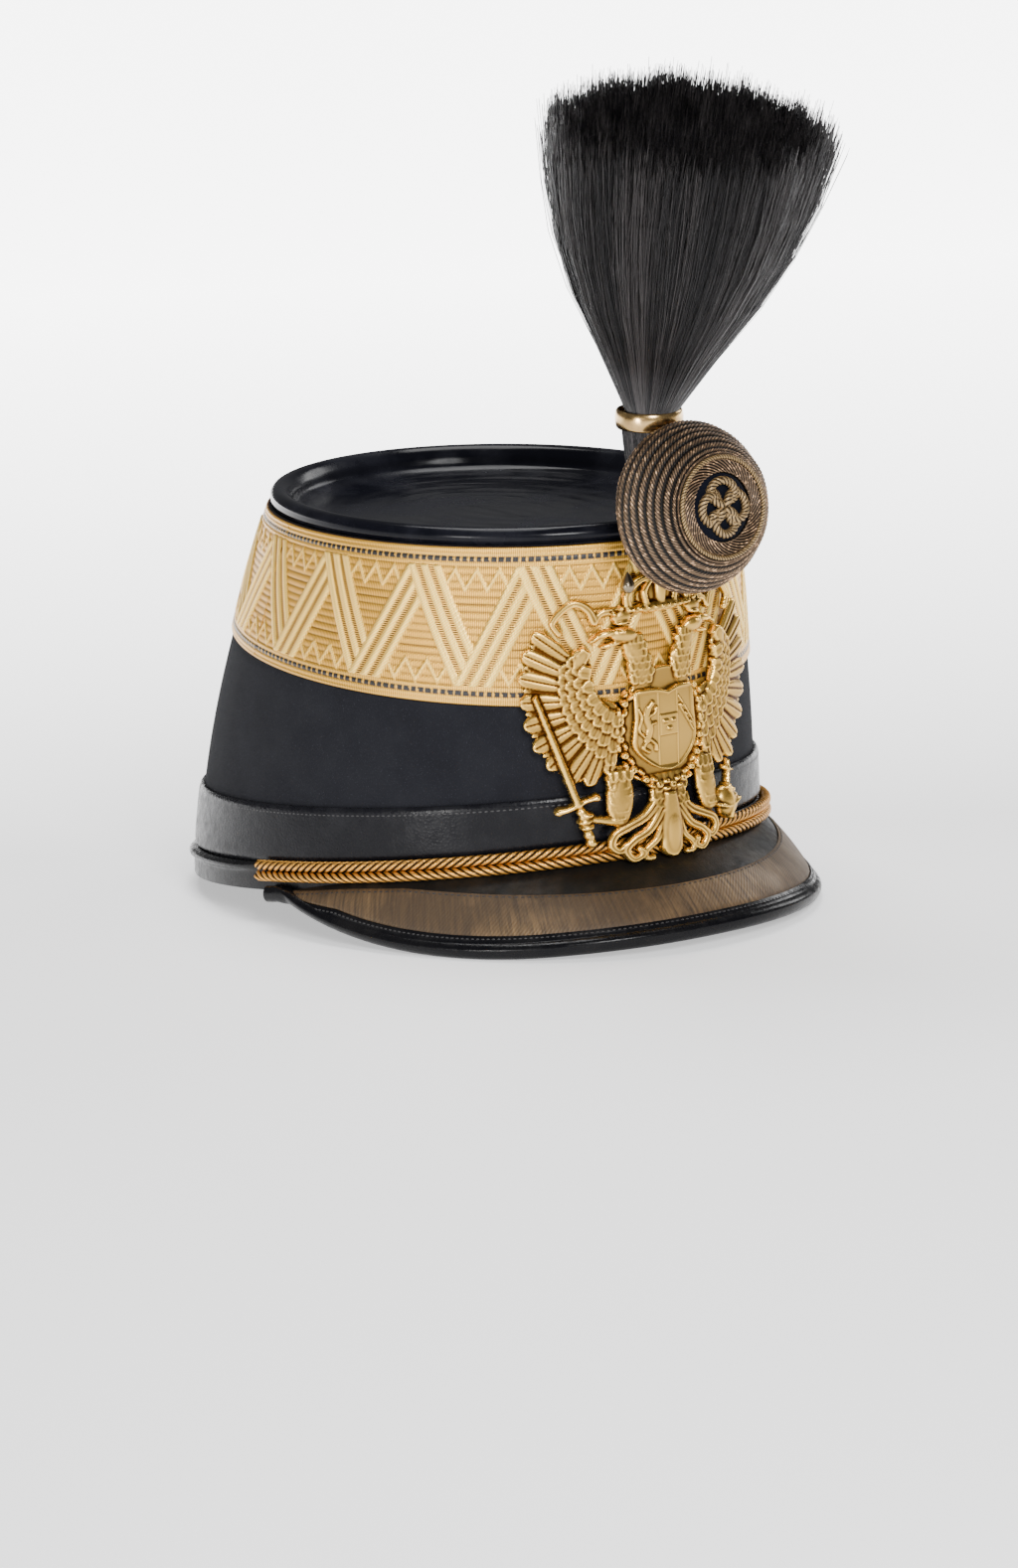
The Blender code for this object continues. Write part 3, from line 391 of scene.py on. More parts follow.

# %% [markdown]
# The gilt eagle is stamped brass with a matt ground and burnished heights, so its roughness
# follows its relief, and its low and hollow parts are painted dark as shade. The ring of the plume
# is polished brass, the knob a dull white metal, the velvet almost black, and the horsehair black
# with grey on random hairs, partly their own tone and partly painted highlight.

# %% Metals, velvet and hair
gilt = Finish("gilt", (0.95, 0.6, 0.2), 0.3, 0.95)
relief = gilt.remap(gilt.mark("depth"), 0.16, 0.84)
# Painted shade: low and hollow parts of the relief take a dark brown.
gilt.put("Base Color", gilt.mix(relief, (0.07, 0.021, 0.0015), (1.0, 0.62, 0.14)))
gilt.put("Roughness", gilt.remap(relief, 0, 1, 0.46, 0.25))
gilt.put("Normal", gilt.bump(gilt.noise(900, detail=4), 0.00012, 0.35))

brass = Finish("polished_brass", (0.66, 0.43, 0.19), 0.2, 1.0)
brass.put("Roughness", brass.remap(brass.noise(400, detail=6), 0.3, 0.75, 0.13, 0.33))
brass.put("Base Color", brass.mix(brass.remap(brass.noise(120, detail=5), 0.4, 0.7),
                                  (0.7, 0.47, 0.2), (0.33, 0.2, 0.08)))
dull_metal = Finish("knob_metal", (0.26, 0.21, 0.14), 0.32, 1.0)
dull_metal.put("Normal", dull_metal.bump(dull_metal.noise(500), 0.0001, 0.3))

velvet = Finish("velvet", (0.003, 0.004, 0.009), 0.95, Sheen_Weight=0.04, Specular_IOR_Level=0.1)
velvet.put("Normal", velvet.bump(velvet.noise(3500, detail=3), 0.0002, 0.8))

horsehair = Finish("horsehair", (0.005, 0.004, 0.004), 0.34, Specular_IOR_Level=0.4)
# Paler hairs are partly their own grey and partly painted highlight.
hair_tone_and_glint = horsehair.remap(horsehair.mark("hair_tone_and_glint"), 0, 1)
horsehair.put("Base Color", horsehair.mix(hair_tone_and_glint, (0.003, 0.003, 0.0042), (0.085, 0.076, 0.076)))
print(len(bpy.data.materials), "materials so far")

# %% [markdown]
# The crown is an oval wall. Its oval shrinks with height by a power curve and slides forward,
# and its rings slope so that the front hangs lower than the back. Angle runs from the front
# towards +X, and share runs from 0 at the rim to 1 at the top outline. Every band of trim is
# then only a choice of shares and of a distance outward along the wall's normal.

# %% The wall as a function
RIM_HALF_WIDTH, RIM_HALF_LENGTH = 92.7 * MM, 113.0 * MM
TOP_HALF_WIDTH, TOP_HALF_LENGTH = 74.9 * MM, 88.6 * MM
CROWN_HEIGHT = 126.7 * MM
TOP_SHIFT = -39.8 * MM
TOP_SLOPE = 0.129
WALL_TAPER, WALL_LEAN = 1.6, 1.25
WALL, GAP, TRIM = 3.0 * MM, 0.3 * MM, 1.5 * MM


def oval(share):
    """Half width, half length and shift, each going from rim to top by share to a power."""
    share = np.maximum(share, 0)
    taper, lean = share ** WALL_TAPER, share ** WALL_LEAN
    return (RIM_HALF_WIDTH + (TOP_HALF_WIDTH - RIM_HALF_WIDTH) * taper,
            RIM_HALF_LENGTH + (TOP_HALF_LENGTH - RIM_HALF_LENGTH) * taper,
            RIM_SHIFT + (TOP_SHIFT - RIM_SHIFT) * lean)


def skin(angle, share):
    """x = width sin(angle), y = shift - length cos(angle), z = height share less the slope."""
    angle, share = np.broadcast_arrays(angle, share)
    half_width, half_length, shift = oval(share)
    forward = half_length * np.cos(angle)
    height = CROWN_HEIGHT * share - TOP_SLOPE * np.maximum(share, 0) * forward
    return np.stack([half_width * np.sin(angle), shift - forward, height], -1)


def unit(vectors):
    return vectors / np.linalg.norm(vectors, axis=-1, keepdims=True)


def wall(angle, share, outward=0.0):
    """The skin moved along its normal, which is the cross product of its two tangents."""
    step = 1e-3
    around = skin(angle + step, share) - skin(angle - step, share)
    upward = skin(angle, share + step) - skin(angle, np.maximum(share - step, 0))
    return skin(angle, share) + unit(np.cross(around, upward)) * np.asarray(outward)[..., None]


def share_at(angle, height):
    """The share whose skin has this height, by five corrections of a first guess."""
    share = height / CROWN_HEIGHT + 0 * angle
    for _ in range(5):
        share = share + (height - skin(angle, share)[..., 2]) / CROWN_HEIGHT
    return share


def level(angle, height, outward):
    """A point off the wall whose height is exactly the one asked for."""
    point = wall(angle, height / CROWN_HEIGHT, outward)
    point[..., 2] = height
    return point


def turns(count, start=-math.pi, end=math.pi):
    return np.linspace(start, end, count, endpoint=False)


def ring_loops(outside, inside):
    """Join an outer and an inner sheet of points into closed loops, one per row."""
    return np.concatenate([outside, inside[:, ::-1]], 1)


# %% [markdown]
# The cloth wall is one closed loop carried round the oval: up the outside and down the inside.

# %% Cloth wall
LIP_DEPTH = 2.4 * MM
BINDING_HEIGHT = 9.8 * MM
around = turns(384)[:, None]
wall_shares = np.linspace((TRIM + GAP) / CROWN_HEIGHT, 1 - (LIP_DEPTH + GAP) / CROWN_HEIGHT, 44)[None, :]
drape = 0.12 * MM * np.sin(5 * around) * np.sin(9 * wall_shares + around)
cloth = ring_loops(wall(around, wall_shares, drape), wall(around, wall_shares, -WALL + drape))
crown_cloth = make_piece("crown_cloth", cloth, wool.material, ["crown_body"], wrap_rows=True)
print("cloth wall:", len(crown_cloth.data.polygons), "faces")

# %% [markdown]
# The top is stretched leather under lacquer: a rounded rim, then a steep fall to a sunken
# floor. It is a profile of outward and upward distances from the top's outline, turned round
# the oval. Its floor swells a little, as leather does, which breaks up the reflections.

# %% Lacquered top
LIP_BULGE, LIP_RISE, LIP_WIDTH = 0.9 * MM, 3.4 * MM, 7.0 * MM
TOP_SINK, TOP_THICKNESS = 6.2 * MM, 2.6 * MM


def top_point(angle, outward, above):
    """A point by its distances from the top's outline; below its plane it follows the lean."""
    lean = (TOP_SHIFT - RIM_SHIFT) * WALL_LEAN / CROWN_HEIGHT
    forward = (TOP_HALF_LENGTH + outward) * np.cos(angle)
    return np.stack([(TOP_HALF_WIDTH + outward) * np.sin(angle),
                     TOP_SHIFT + np.minimum(above, 0) * lean - forward,
                     CROWN_HEIGHT - TOP_SLOPE * forward + above], -1)


lip = smooth_line([(0.0, -LIP_DEPTH), (LIP_BULGE, -LIP_DEPTH * 0.2), (LIP_BULGE * 0.8, LIP_RISE * 0.45),
                   (-LIP_WIDTH * 0.11, LIP_RISE * 0.91), (-LIP_WIDTH * 0.43, LIP_RISE),
                   (-LIP_WIDTH * 0.72, LIP_RISE * 0.7), (-LIP_WIDTH, -TOP_SINK * 0.08),
                   (-LIP_WIDTH * 1.3, -TOP_SINK * 0.56), (-LIP_WIDTH * 2, -TOP_SINK * 0.84),
                   (-TOP_HALF_WIDTH * 0.3, -TOP_SINK * 0.95), (-TOP_HALF_WIDTH * 0.5, -TOP_SINK)], 70)
floor_rows = np.linspace(0.5, 0.985, 22)[1:, None] * [-TOP_HALF_WIDTH, 0] + [0, -TOP_SINK]
under = np.array([(-TOP_HALF_WIDTH * 0.985, -TOP_SINK - TOP_THICKNESS),
                  (-LIP_WIDTH * 1.7, -TOP_SINK - TOP_THICKNESS), (-WALL - GAP, -TOP_SINK),
                  (-WALL - GAP, -LIP_DEPTH)])
profile = np.concatenate([under, lip, floor_rows])
angle = turns(320)[None, :]
outward, above = profile[:, :1] + 0 * angle, profile[:, 1:] + 0 * angle
dimple = (np.sin(3 * angle + 60 * outward / TOP_HALF_WIDTH)
          + np.sin(5 * angle - 31 * outward / TOP_HALF_WIDTH))
above = above + 0.05 * MM * dimple * smooth_step(-LIP_WIDTH, -2 * LIP_WIDTH, outward)
make_piece("crown_top_lacquer", top_point(angle, outward, above), lacquer.material, ["crown_top"])

# %% [markdown]
# The lace is the richest piece. It is woven, so its pattern is real relief here: black dashes
# between gold lines at both edges, and between them zigzag bars of satin ridges, with
# ribbed triangles and rows of little teeth. Two numbers place a point of it: the run along the
# band and the rise across it, both in millimetres. The wall leans forward more than the band
# slopes, so the run is sheared a little with the rise. A bar's left edge falls or rises by a
# straight line over half a period, and bars pass over and under each other at the vertices.

# %% The lace pattern
LACE_FOOT, LACE_FOOT_TILT = 75.8 * MM, 19.0 * MM
LACE_HEAD = 1 - (LIP_DEPTH + 2 * GAP) / CROWN_HEIGHT
LACE_WIDTH, LACE_BORDER = 52.0, 6.4
ZIGZAGS, BAR_RUN, VERTEX_RUN = 14, 13.2, -91.6
MEASURED_SHARE, RUN_SHEAR = 0.79, 0.1
RIB_PITCH, TOOTH_PITCH, TOOTH_HEIGHT = 2.45, 7.9, 6.6


def rounded(place, centres, half_width):
    """Round ridges: sqrt(1 - ((place - centre) / half width) ^ 2) about each centre."""
    away = np.min([np.abs(place - centre) for centre in centres], axis=0)
    return np.sqrt(np.maximum(1 - (away / half_width) ** 2, 0))


def ribs(distance, pitch):
    """Round ribs side by side, each as wide as the pitch."""
    return np.sqrt(1 - 0.96 * (2 * ((distance / pitch) % 1) - 1) ** 2)


def lace_relief(run, rise, period):
    """Height from 0 to 1, black dashes and roped lines, from run and rise in millimetres."""
    field = LACE_WIDTH - 2 * LACE_BORDER
    up = (rise - LACE_BORDER) / field
    cycle = (run / period) % 1
    falling = (cycle - (1 - up) / 2) % 1 * period / BAR_RUN
    rising = (cycle - (1 + up) / 2) % 1 * period / BAR_RUN
    over, under = np.where(up > 0.5, falling, rising), np.where(up > 0.5, rising, falling)
    place = np.where(over < 1, over, under)
    open_share = 1 - BAR_RUN / period
    middle = (cycle - BAR_RUN / period / 2 + 0.5) % 1 - 0.5
    low = np.abs(middle) < open_share / 2 * (1 - up / open_share) + 0.02
    beside = np.where(low, np.abs(middle), 0.5 - np.abs(middle)) * period
    above_base = np.where(low, up, 1 - up) * field
    wave = 1 - np.abs(1 - 2 * ((beside / TOOTH_PITCH) % 1))
    tooth = rounded((above_base - 1.0 - TOOTH_HEIGHT * wave) * 0.52, (0,), 0.72)
    ground = 0.1 + 0.3 * ribs(rise - LACE_BORDER, RIB_PITCH)
    height = np.where(tooth > 0, np.maximum(ground, 0.28 + 0.42 * tooth), ground)
    bar = 0.1 + 0.9 * rounded(place, (0.125, 0.5, 0.875), 0.13)
    twist = (place < 1) & (np.minimum(np.abs(place - 0.312), np.abs(place - 0.688)) < 0.062)
    height = np.where(place < 1, np.where(twist, 0.5, bar), height)
    edge = np.minimum(rise, LACE_WIDTH - rise)
    margin = 0.16 + 0.34 * ribs(edge, 1.6)
    height = np.where(edge < LACE_BORDER, margin, height)
    black = (edge > 3.0) & (edge < 4.8)
    dashes = black & ((run % 2.6) < 2.0)
    roped = twist & ~black & (edge >= LACE_BORDER)
    return height * smooth_step(-0.4, 0.7, edge), dashes.astype(float), roped.astype(float)


def arc_length(angle, share):
    """Length round the oval from the front, by adding up short chords."""
    fine = np.linspace(-math.pi, 2 * math.pi, 6001)
    chords = np.linalg.norm(np.diff(skin(fine, share + 0 * fine), axis=0), axis=1)
    total = np.concatenate([[0], np.cumsum(chords)])
    return np.interp(angle, fine, total - total[2000])


def build_lace(name, start, end, columns, rows):
    """One half of the lace: a sheet of relief with a plain back, closed at its two ends."""
    angle = np.linspace(start, end, columns)[:, None]
    foot = share_at(angle, LACE_FOOT - LACE_FOOT_TILT * np.cos(angle))
    rise = np.linspace(0, 1, rows)[None, :]
    share = foot + (LACE_HEAD - foot) * rise
    run = arc_length(angle, MEASURED_SHARE) / MM
    length = arc_length(np.array([math.pi]), MEASURED_SHARE)[0] * 2 / MM
    run = run - RUN_SHEAR * np.sin(angle) * (rise - 0.5) * LACE_WIDTH
    height, dashes, roped = lace_relief(run - VERTEX_RUN, rise * LACE_WIDTH, length / ZIGZAGS)
    outside = wall(angle, share, GAP + 0.4 * MM + 1.1 * MM * height)
    inside = wall(angle, np.concatenate([foot, foot * 0 + LACE_HEAD], 1), GAP)
    loops = ring_loops(outside, inside)
    flat = np.zeros((columns, 2))
    uv = np.stack([np.concatenate([run, run[:, -1:], run[:, :1], run[:, :1]], 1),
                   np.concatenate([rise * LACE_WIDTH + 0 * run, flat, flat[:, :1]], 1)], -1) * MM
    marks = {"depth": np.concatenate([height, flat], 1), "dash": np.concatenate([dashes, flat], 1),
             "rope": np.concatenate([roped, flat], 1)}
    return make_piece(name, loops, gold_lace.material, ["lace_band"], uv=uv,
                      marks=marks, sharp=180)


quarter = math.pi / 2
build_lace("lace_front", -quarter * 1.15, quarter * 0.85, 640, 146)
build_lace("lace_back", quarter * 0.85, quarter * 2.85, 560, 120)

# %% [markdown]
# The lower band is grained leather, stitched along its upper edge at the front. The binding
# below it wraps the foot of the wall and swells into a welt round the back.

# %% Lower band and rim binding
BAND_TOP = 30.2 * MM


def band_loops(angle, foot, head, rows, lift):
    """A strip of trim between two shares, rounded at its edges by lift."""
    rise = np.linspace(0, 1, rows)[None, :]
    share = foot + (head - foot) * rise
    puff = TRIM * (1 - lift * np.abs(2 * rise - 1) ** 14)
    return ring_loops(wall(angle, share, GAP + puff), wall(angle, share, GAP + 0 * share))


band_foot = share_at(around, BINDING_HEIGHT + 2 * GAP)
band = band_loops(around, band_foot, BAND_TOP / CROWN_HEIGHT, 26, 0.45)
make_piece("band_leather_strip", band, band_leather.material, ["lower_band"], wrap_rows=True)

WELT = 2.0 * MM
outer, inner = GAP + TRIM, -(WALL + GAP)
turned = np.abs(around)
welt = WELT * smooth_step(math.radians(86), math.radians(100), turned)
outline = np.array([(outer, 0.0, 0), (outer + 0.1 * MM, BINDING_HEIGHT * 0.3, 0),
                    (outer, BINDING_HEIGHT * 0.6, 0.1), (outer, BINDING_HEIGHT * 0.74, 0.8),
                    (outer, BINDING_HEIGHT * 0.84, 1), (outer - 0.1 * MM, BINDING_HEIGHT * 0.94, 0.75),
                    (outer - TRIM * 0.4, BINDING_HEIGHT, 0.1), (GAP, BINDING_HEIGHT, 0)])
outline = smooth_line(outline, 40)
rest = np.array([(GAP, TRIM, 0), (inner, TRIM, 0), (inner, BINDING_HEIGHT, 0),
                 (inner - TRIM, BINDING_HEIGHT, 0), (inner - TRIM, 0.0, 0)])
section = np.concatenate([outline, rest])[None]
binding = level(around, section[..., 1] + 0 * around, section[..., 0] + welt * section[..., 2])
make_piece("rim_leather_binding", binding, edge_leather.material, ["rim_binding"],
           wrap_rows=True)

# %% [markdown]
# Stitches are small capsules. They are placed by arrays of middles, directions and normals, so
# one helper sews the band, the peak and its edge.


# %% A helper that sews
def sew(name, middles, directions, normals, length, radius, finish):
    """Capsules of six sides and seven rings: x along the stitch, a half circle of radii."""
    rings, sides = 7, 6
    size = rings * sides
    along = np.linspace(-1, 1, rings)
    girth = np.sqrt(np.maximum(1 - along ** 2, 0.02))
    turn = turns(sides)
    side = unit(np.cross(directions, normals))
    ring = (np.cos(turn)[None, None, :, None] * normals[:, None, None] * 0.6
            + np.sin(turn)[None, None, :, None] * side[:, None, None])
    points = (middles[:, None, None]
              + directions[:, None, None] * (along * length / 2)[None, :, None, None]
              + ring * (girth * radius)[None, :, None, None])
    each = points.reshape(-1, size, 3)
    row, column = grid_corners(rings, sides, False, True)
    quads = row * sides + column % sides
    ends = np.stack([each[:, :sides].mean(1), each[:, -sides:].mean(1)], 1)
    each = np.concatenate([each, ends], 1)
    triangles = np.concatenate([fan(np.arange(sides), size, True),
                                fan(np.arange(size - sides, size), size + 1, False)])
    return place_piece(name, fill_copies(name, each, quads, triangles), finish, ())


def along_line(line, pitch):
    """Even steps along a fine line of points: middles, and unit directions."""
    run = np.concatenate([[0], np.cumsum(np.linalg.norm(np.diff(line, axis=0), axis=1))])
    stops = np.arange(pitch / 2, run[-1], pitch)
    middles = np.stack([np.interp(stops, run, line[:, axis]) for axis in range(3)], 1)
    ahead = np.stack([np.interp(stops + pitch / 4, run, line[:, axis]) for axis in range(3)], 1)
    return middles, unit(ahead - middles)


waxed_thread = Finish("waxed_thread", (0.02, 0.019, 0.02), 0.5)
waxed_thread.put("Normal", waxed_thread.bump(waxed_thread.noise(4000), 0.00005, 0.5))
front = np.linspace(-1.75, 1.2, 900)
seam = wall(front, BAND_TOP / CROWN_HEIGHT - 0.021 + 0 * front, GAP + TRIM - 0.05 * MM)
middles, directions = along_line(seam, 2.1 * MM)
sew("band_stitches", middles, directions, unit(np.cross(directions, np.array([0, 0.1, 1.0]))), 1.3 * MM,
    0.28 * MM, waxed_thread.material)

# %% [markdown]
# The peak hangs from the rim. A bearing from the front picks a line from its root, on the
# binding, to its edge, a superellipse whose height falls towards the front. Points are then
# given by their distance inward from the edge and upward from the middle surface.

# %% The peak as a function
PEAK_HALF_WIDTH, PEAK_REACH, PEAK_SQUARENESS = 97.0 * MM, 143.8 * MM, 2.2
PEAK_DROP, PEAK_CORNER_RISE = 24.0 * MM, 31.5 * MM
PEAK_ROOT_HEIGHT, PEAK_CORNER_SINK = 1.8 * MM, 3.0 * MM
PEAK_ANGLE, PEAK_FALL_ANGLE = math.radians(84), math.radians(65)
PEAK_THICKNESS, PEAK_BULGE, PEAK_LEAST_WIDTH = 2.5 * MM, 1.5 * MM, 4.2 * MM
EDGE_LEG, EDGE_LEAST_LEG, EDGE_UNDER_LEG = 7.0 * MM, 3.4 * MM, 5.0 * MM
EDGE_LEATHER, EDGE_BEAD = 1.0 * MM, 2.6 * MM


def peak_root(bearing):
    """On the binding, at the wall angle that is seen at this bearing from the middle."""
    angle = np.arctan2(np.sin(bearing) * RIM_HALF_LENGTH, np.cos(bearing) * RIM_HALF_WIDTH)
    root = level(angle, PEAK_ROOT_HEIGHT + 0 * angle, TRIM + 2.3 * GAP)
    root[..., 2] -= PEAK_CORNER_SINK * smooth_step(math.radians(58), PEAK_ANGLE, np.abs(bearing))
    return root


def peak_edge(bearing):
    """A superellipse of radius (|sin|/width ^ n + |cos|/reach ^ n) ^ (-1/n)."""
    root = peak_root(bearing)
    side, front = np.abs(np.sin(bearing)) / PEAK_HALF_WIDTH, np.abs(np.cos(bearing)) / PEAK_REACH
    radius = (side ** PEAK_SQUARENESS + front ** PEAK_SQUARENESS) ** (-1 / PEAK_SQUARENESS)
    fall = np.minimum(1, (math.pi / 2 - np.abs(bearing)) / PEAK_FALL_ANGLE)
    height = np.minimum(root[..., 2], PEAK_CORNER_RISE * (1 - fall) ** 2 - PEAK_DROP)
    least = np.sqrt(np.maximum(PEAK_LEAST_WIDTH ** 2 - (root[..., 2] - height) ** 2, 0))
    radius = np.maximum(radius, np.hypot(root[..., 0], root[..., 1]) + least)
    return np.stack([radius * np.sin(bearing), -radius * np.cos(bearing), height], -1)


def peak_width(bearing):
    return np.linalg.norm(peak_edge(bearing) - peak_root(bearing), axis=-1)


def peak_point(bearing, inward, above):
    """From the edge: inward along the line to the root and up its normal, with a bulge."""
    bearing = bearing + 0 * inward
    root, edge = peak_root(bearing), peak_edge(bearing)
    width = np.linalg.norm(edge - root, axis=-1)
    along = (edge - root) / width[..., None]
    share = inward / width
    square = unit(np.array([0, 0, 1.0]) - along * along[..., 2:])
    upright = np.clip(share, 0, 1)[..., None] ** 6
    upward = square * (1 - upright) + np.array([0, 0, 1.0]) * upright
    bulge = PEAK_BULGE * width / (PEAK_REACH - RIM_HALF_LENGTH) * 4 * share * (1 - share)
    return edge - along * inward[..., None] + upward * (above + bulge)[..., None]


def edge_leg(bearing):
    return np.clip(0.45 * peak_width(bearing), EDGE_LEAST_LEG, EDGE_LEG)


def plain_share(bearing):
    """The share of the peak's width that is plain leather, from its root outward."""
    return np.maximum(0.44 * np.maximum(0, np.cos(1.15 * bearing)) ** 2.2, 0.12)


# %% [markdown]
# Three layers make the peak: the leather plate, a strip of worn lace on it, and a folded
# leather edge with a bead on its nose. Stitches run along the lace and along the fold.

# %% Peak
bearing = np.linspace(-PEAK_ANGLE, PEAK_ANGLE, 260)[:, None]
width = peak_width(bearing)
rows = width + (EDGE_BEAD + GAP - width) * np.linspace(0, 1, 30)[None, :]
half = PEAK_THICKNESS / 2
plate = ring_loops(peak_point(bearing, rows, half + 0 * rows), peak_point(bearing, rows, -half + 0 * rows))
make_piece("peak_leather_plate", plate, peak_leather.material, ["peak"])

lace_bearing = np.linspace(-1, 1, 260)[:, None] * math.radians(76)
lace_out = edge_leg(lace_bearing) + GAP
lace_in = peak_width(lace_bearing) * (1 - plain_share(lace_bearing))
lace_in = np.maximum(lace_in, lace_out + 2 * GAP)
lace_rows = lace_in + (lace_out - lace_in) * np.linspace(0, 1, 22)
seat = half + GAP / 2
swell = 0.62 * MM * (1 - 0.5 * np.abs(np.linspace(-1, 1, 22)) ** 10)[None, :] + 0 * lace_rows
strip = ring_loops(peak_point(lace_bearing, lace_rows, seat + swell),
                   peak_point(lace_bearing, lace_rows, seat + 0 * lace_rows))
lace_run = lace_bearing * 110 * MM
strip_uv = np.stack([lace_run + 0 * lace_rows, lace_rows], -1)
strip_uv = np.concatenate([strip_uv, strip_uv[:, ::-1], strip_uv[:, :1]], 1)
make_piece("peak_lace_strip", strip, worn_lace.material, ["peak_lace"], uv=strip_uv)

channel = half + GAP
outside = channel + EDGE_LEATHER
leg = edge_leg(bearing)
nose = smooth_line([(1.0, 0.88, 1), (0.8, 0.92, 1), (1.55, 0.9, 0), (0.95, 1.16, 0), (0.45, 1.1, 0),
                    (0.1, 0.6, 0), (0.0, 0.0, 0), (0.15, -0.62, 0), (0.55, -1.02, 0),
                    (1.1, -1.05, 0), (1.9, -0.92, 0)], 44)
blend = np.clip(nose[None, :, 2], 0, 1)
fold_in = blend * leg * np.clip(nose[None, :, 0], 0.6, 1.05) + (1 - blend) * nose[None, :, 0] * EDGE_BEAD
fold_up = nose[None, :, 1] * outside + 0 * leg
bead = EDGE_BEAD + 0 * leg
inner_in = np.concatenate([np.minimum(EDGE_UNDER_LEG, leg), bead, bead, leg], 1)
inner_up = np.array([-channel, -channel, channel, channel])[None, :] + 0 * leg
fold = peak_point(bearing, np.concatenate([fold_in, inner_in], 1), np.concatenate([fold_up, inner_up], 1))
make_piece("peak_edge_fold", fold, edge_leather.material, ["peak_binding"])


def peak_seam(name, limit, inward, above, pitch, length):
    """Stitches along the peak at a distance inward that follows the bearing."""
    turn = np.linspace(-limit, limit, 1400)
    line = peak_point(turn, inward(turn), above + 0 * turn)
    raised = peak_point(turn, inward(turn), above + MM + 0 * turn)
    middles, directions = along_line(line, pitch)
    long, short = (np.linalg.norm(np.diff(points, axis=0), axis=1).sum() for points in (raised, line))
    lifted = along_line(raised, pitch * long / short)[0]
    count = min(len(middles), len(lifted))
    return sew(name, middles[:count], directions[:count], unit(lifted[:count] - middles[:count]),
               length, 0.3 * MM, waxed_thread.material)


peak_seam("peak_lace_stitches", math.radians(75),
          lambda turn: peak_width(turn) * (1 - plain_share(turn)) - 1.1 * MM,
          half + 0.75 * MM, 2.3 * MM, 1.4 * MM)
peak_seam("peak_edge_stitches", math.radians(80), lambda turn: edge_leg(turn) - 1.2 * MM,
          outside * 0.9 + 0.02 * MM, 1.9 * MM, 1.25 * MM)

# %% [markdown]
# The cord is two ropes of gold thread, twisted opposite ways, so that side by side they draw a
# row of arrows. Each rope is a tube whose radius rises and falls with the angle less the twist:
# that carries four plies round it like a screw thread.


# %% A helper for ropes
def rope(path, normal, radius, plies, pitch, twist, sides, depth):
    """A tube round a path: radius (1 - depth groove), groove by |cos| of the screwed angle."""
    ahead = unit(np.gradient(path, axis=0))
    side = unit(np.cross(ahead, normal))
    up = np.cross(side, ahead)
    run = np.concatenate([[0], np.cumsum(np.linalg.norm(np.diff(path, axis=0), axis=1))])[:, None]
    turn = turns(sides)[None, :]
    ply = np.abs(np.cos(plies / 2 * (turn - twist * 2 * math.pi * run / pitch)))
    girth = radius * (1 - depth * (1 - ply ** 0.6))
    points = (path[:, None] + (np.cos(turn) * girth)[..., None] * up[:, None]
              + (np.sin(turn) * girth)[..., None] * side[:, None])
    wide = np.concatenate([turn, turn[:, :1] + 2 * math.pi], 1)
    uv = np.stack([run + 0 * wide, wide * radius * twist + 0 * run], -1)
    return points, uv, {"depth": ply}


CORD_RADIUS = 1.75 * MM
CORD_HEIGHT, CORD_RISE = 6.4 * MM, 0.9 * MM
CORD_ANGLE = math.radians(88)
CORD_PLIES, CORD_PITCH = 4, 12.6 * MM
cord_turn = np.linspace(-CORD_ANGLE, CORD_ANGLE, 1900)
for side, label in ((1, "upper"), (-1, "lower")):
    height = CORD_HEIGHT + side * (CORD_RADIUS + GAP / 2) + CORD_RISE * (1 - np.cos(cord_turn))
    path = level(cord_turn, height, 2 * GAP + TRIM + CORD_RADIUS)
    away = unit(level(cord_turn, height, 9 * MM) - path)
    points, uv, marks = rope(path, away, CORD_RADIUS * 1.05, CORD_PLIES, CORD_PITCH, -side, 40, 0.36)
    make_piece("cord_rope_" + label, points, gold_cord.material, ["cord_" + label], uv=uv,
               marks=marks, sharp=180)

# %% [markdown]
# The eagle is stamped metal, so it is a height field: a drawing in the badge's own plane, in
# hundredths of its height, where every feather, scale and scroll raises the sheet. A leaf is
# the one stroke that it needs. Strokes are combined by taking the highest, which leaves the
# grooves between feathers, and where no stroke falls the sheet is pierced.

# %% Strokes of the height field
BADGE_HEIGHT, BADGE_FOOT, BADGE_CENTRE = 100.0 * MM, 2.0 * MM, -2.0 * MM
BADGE_STANDOFF, BADGE_FAR_WING = 2.6 * MM, 0.88
CELL = 0.36
grid_x, grid_y = np.meshgrid(np.arange(-53, 53, CELL), np.arange(-1.5, 104, CELL), indexing="ij")
sheet = np.full(grid_x.shape, -1.0)


def stroke_frame(start, end):
    """Distances along and across a stroke, and its length."""
    start, end = np.asarray(start, float), np.asarray(end, float)
    length = math.dist(start, end)
    ahead = (end - start) / length
    x, y = grid_x - start[0], grid_y - start[1]
    return x * ahead[0] + y * ahead[1], -x * ahead[1] + y * ahead[0], length


def raise_sheet(height, inside):
    np.maximum(sheet, np.where(inside, height, -1.0), out=sheet)


def plume_leaf(start, end, half_width, foot, crest, quill=0.25):
    """A feather: parallel sides and a round tip, a quill down its middle and slanted barbs."""
    along, across, length = stroke_frame(start, end)
    t = along / length
    tip = np.clip((t - 0.82) / 0.18, 0, 1)
    edge = half_width * (0.6 + 0.4 * np.clip(t / 0.5, 0, 1)) * np.sqrt(np.maximum(1 - tip ** 2, 0))
    inside = (np.abs(across) < edge) & (t > 0) & (t < 1)
    bow = np.sqrt(np.maximum(1 - (across / np.maximum(edge, 1e-3)) ** 2, 0))
    groove = -quill * np.exp(-(across / 0.32) ** 2)
    barbs = 0.09 * np.cos(2 * math.pi * (along - 1.1 * np.abs(across)) / 1.3)
    raise_sheet(foot + crest * bow ** 0.7 + groove + barbs * (quill > 0), inside)


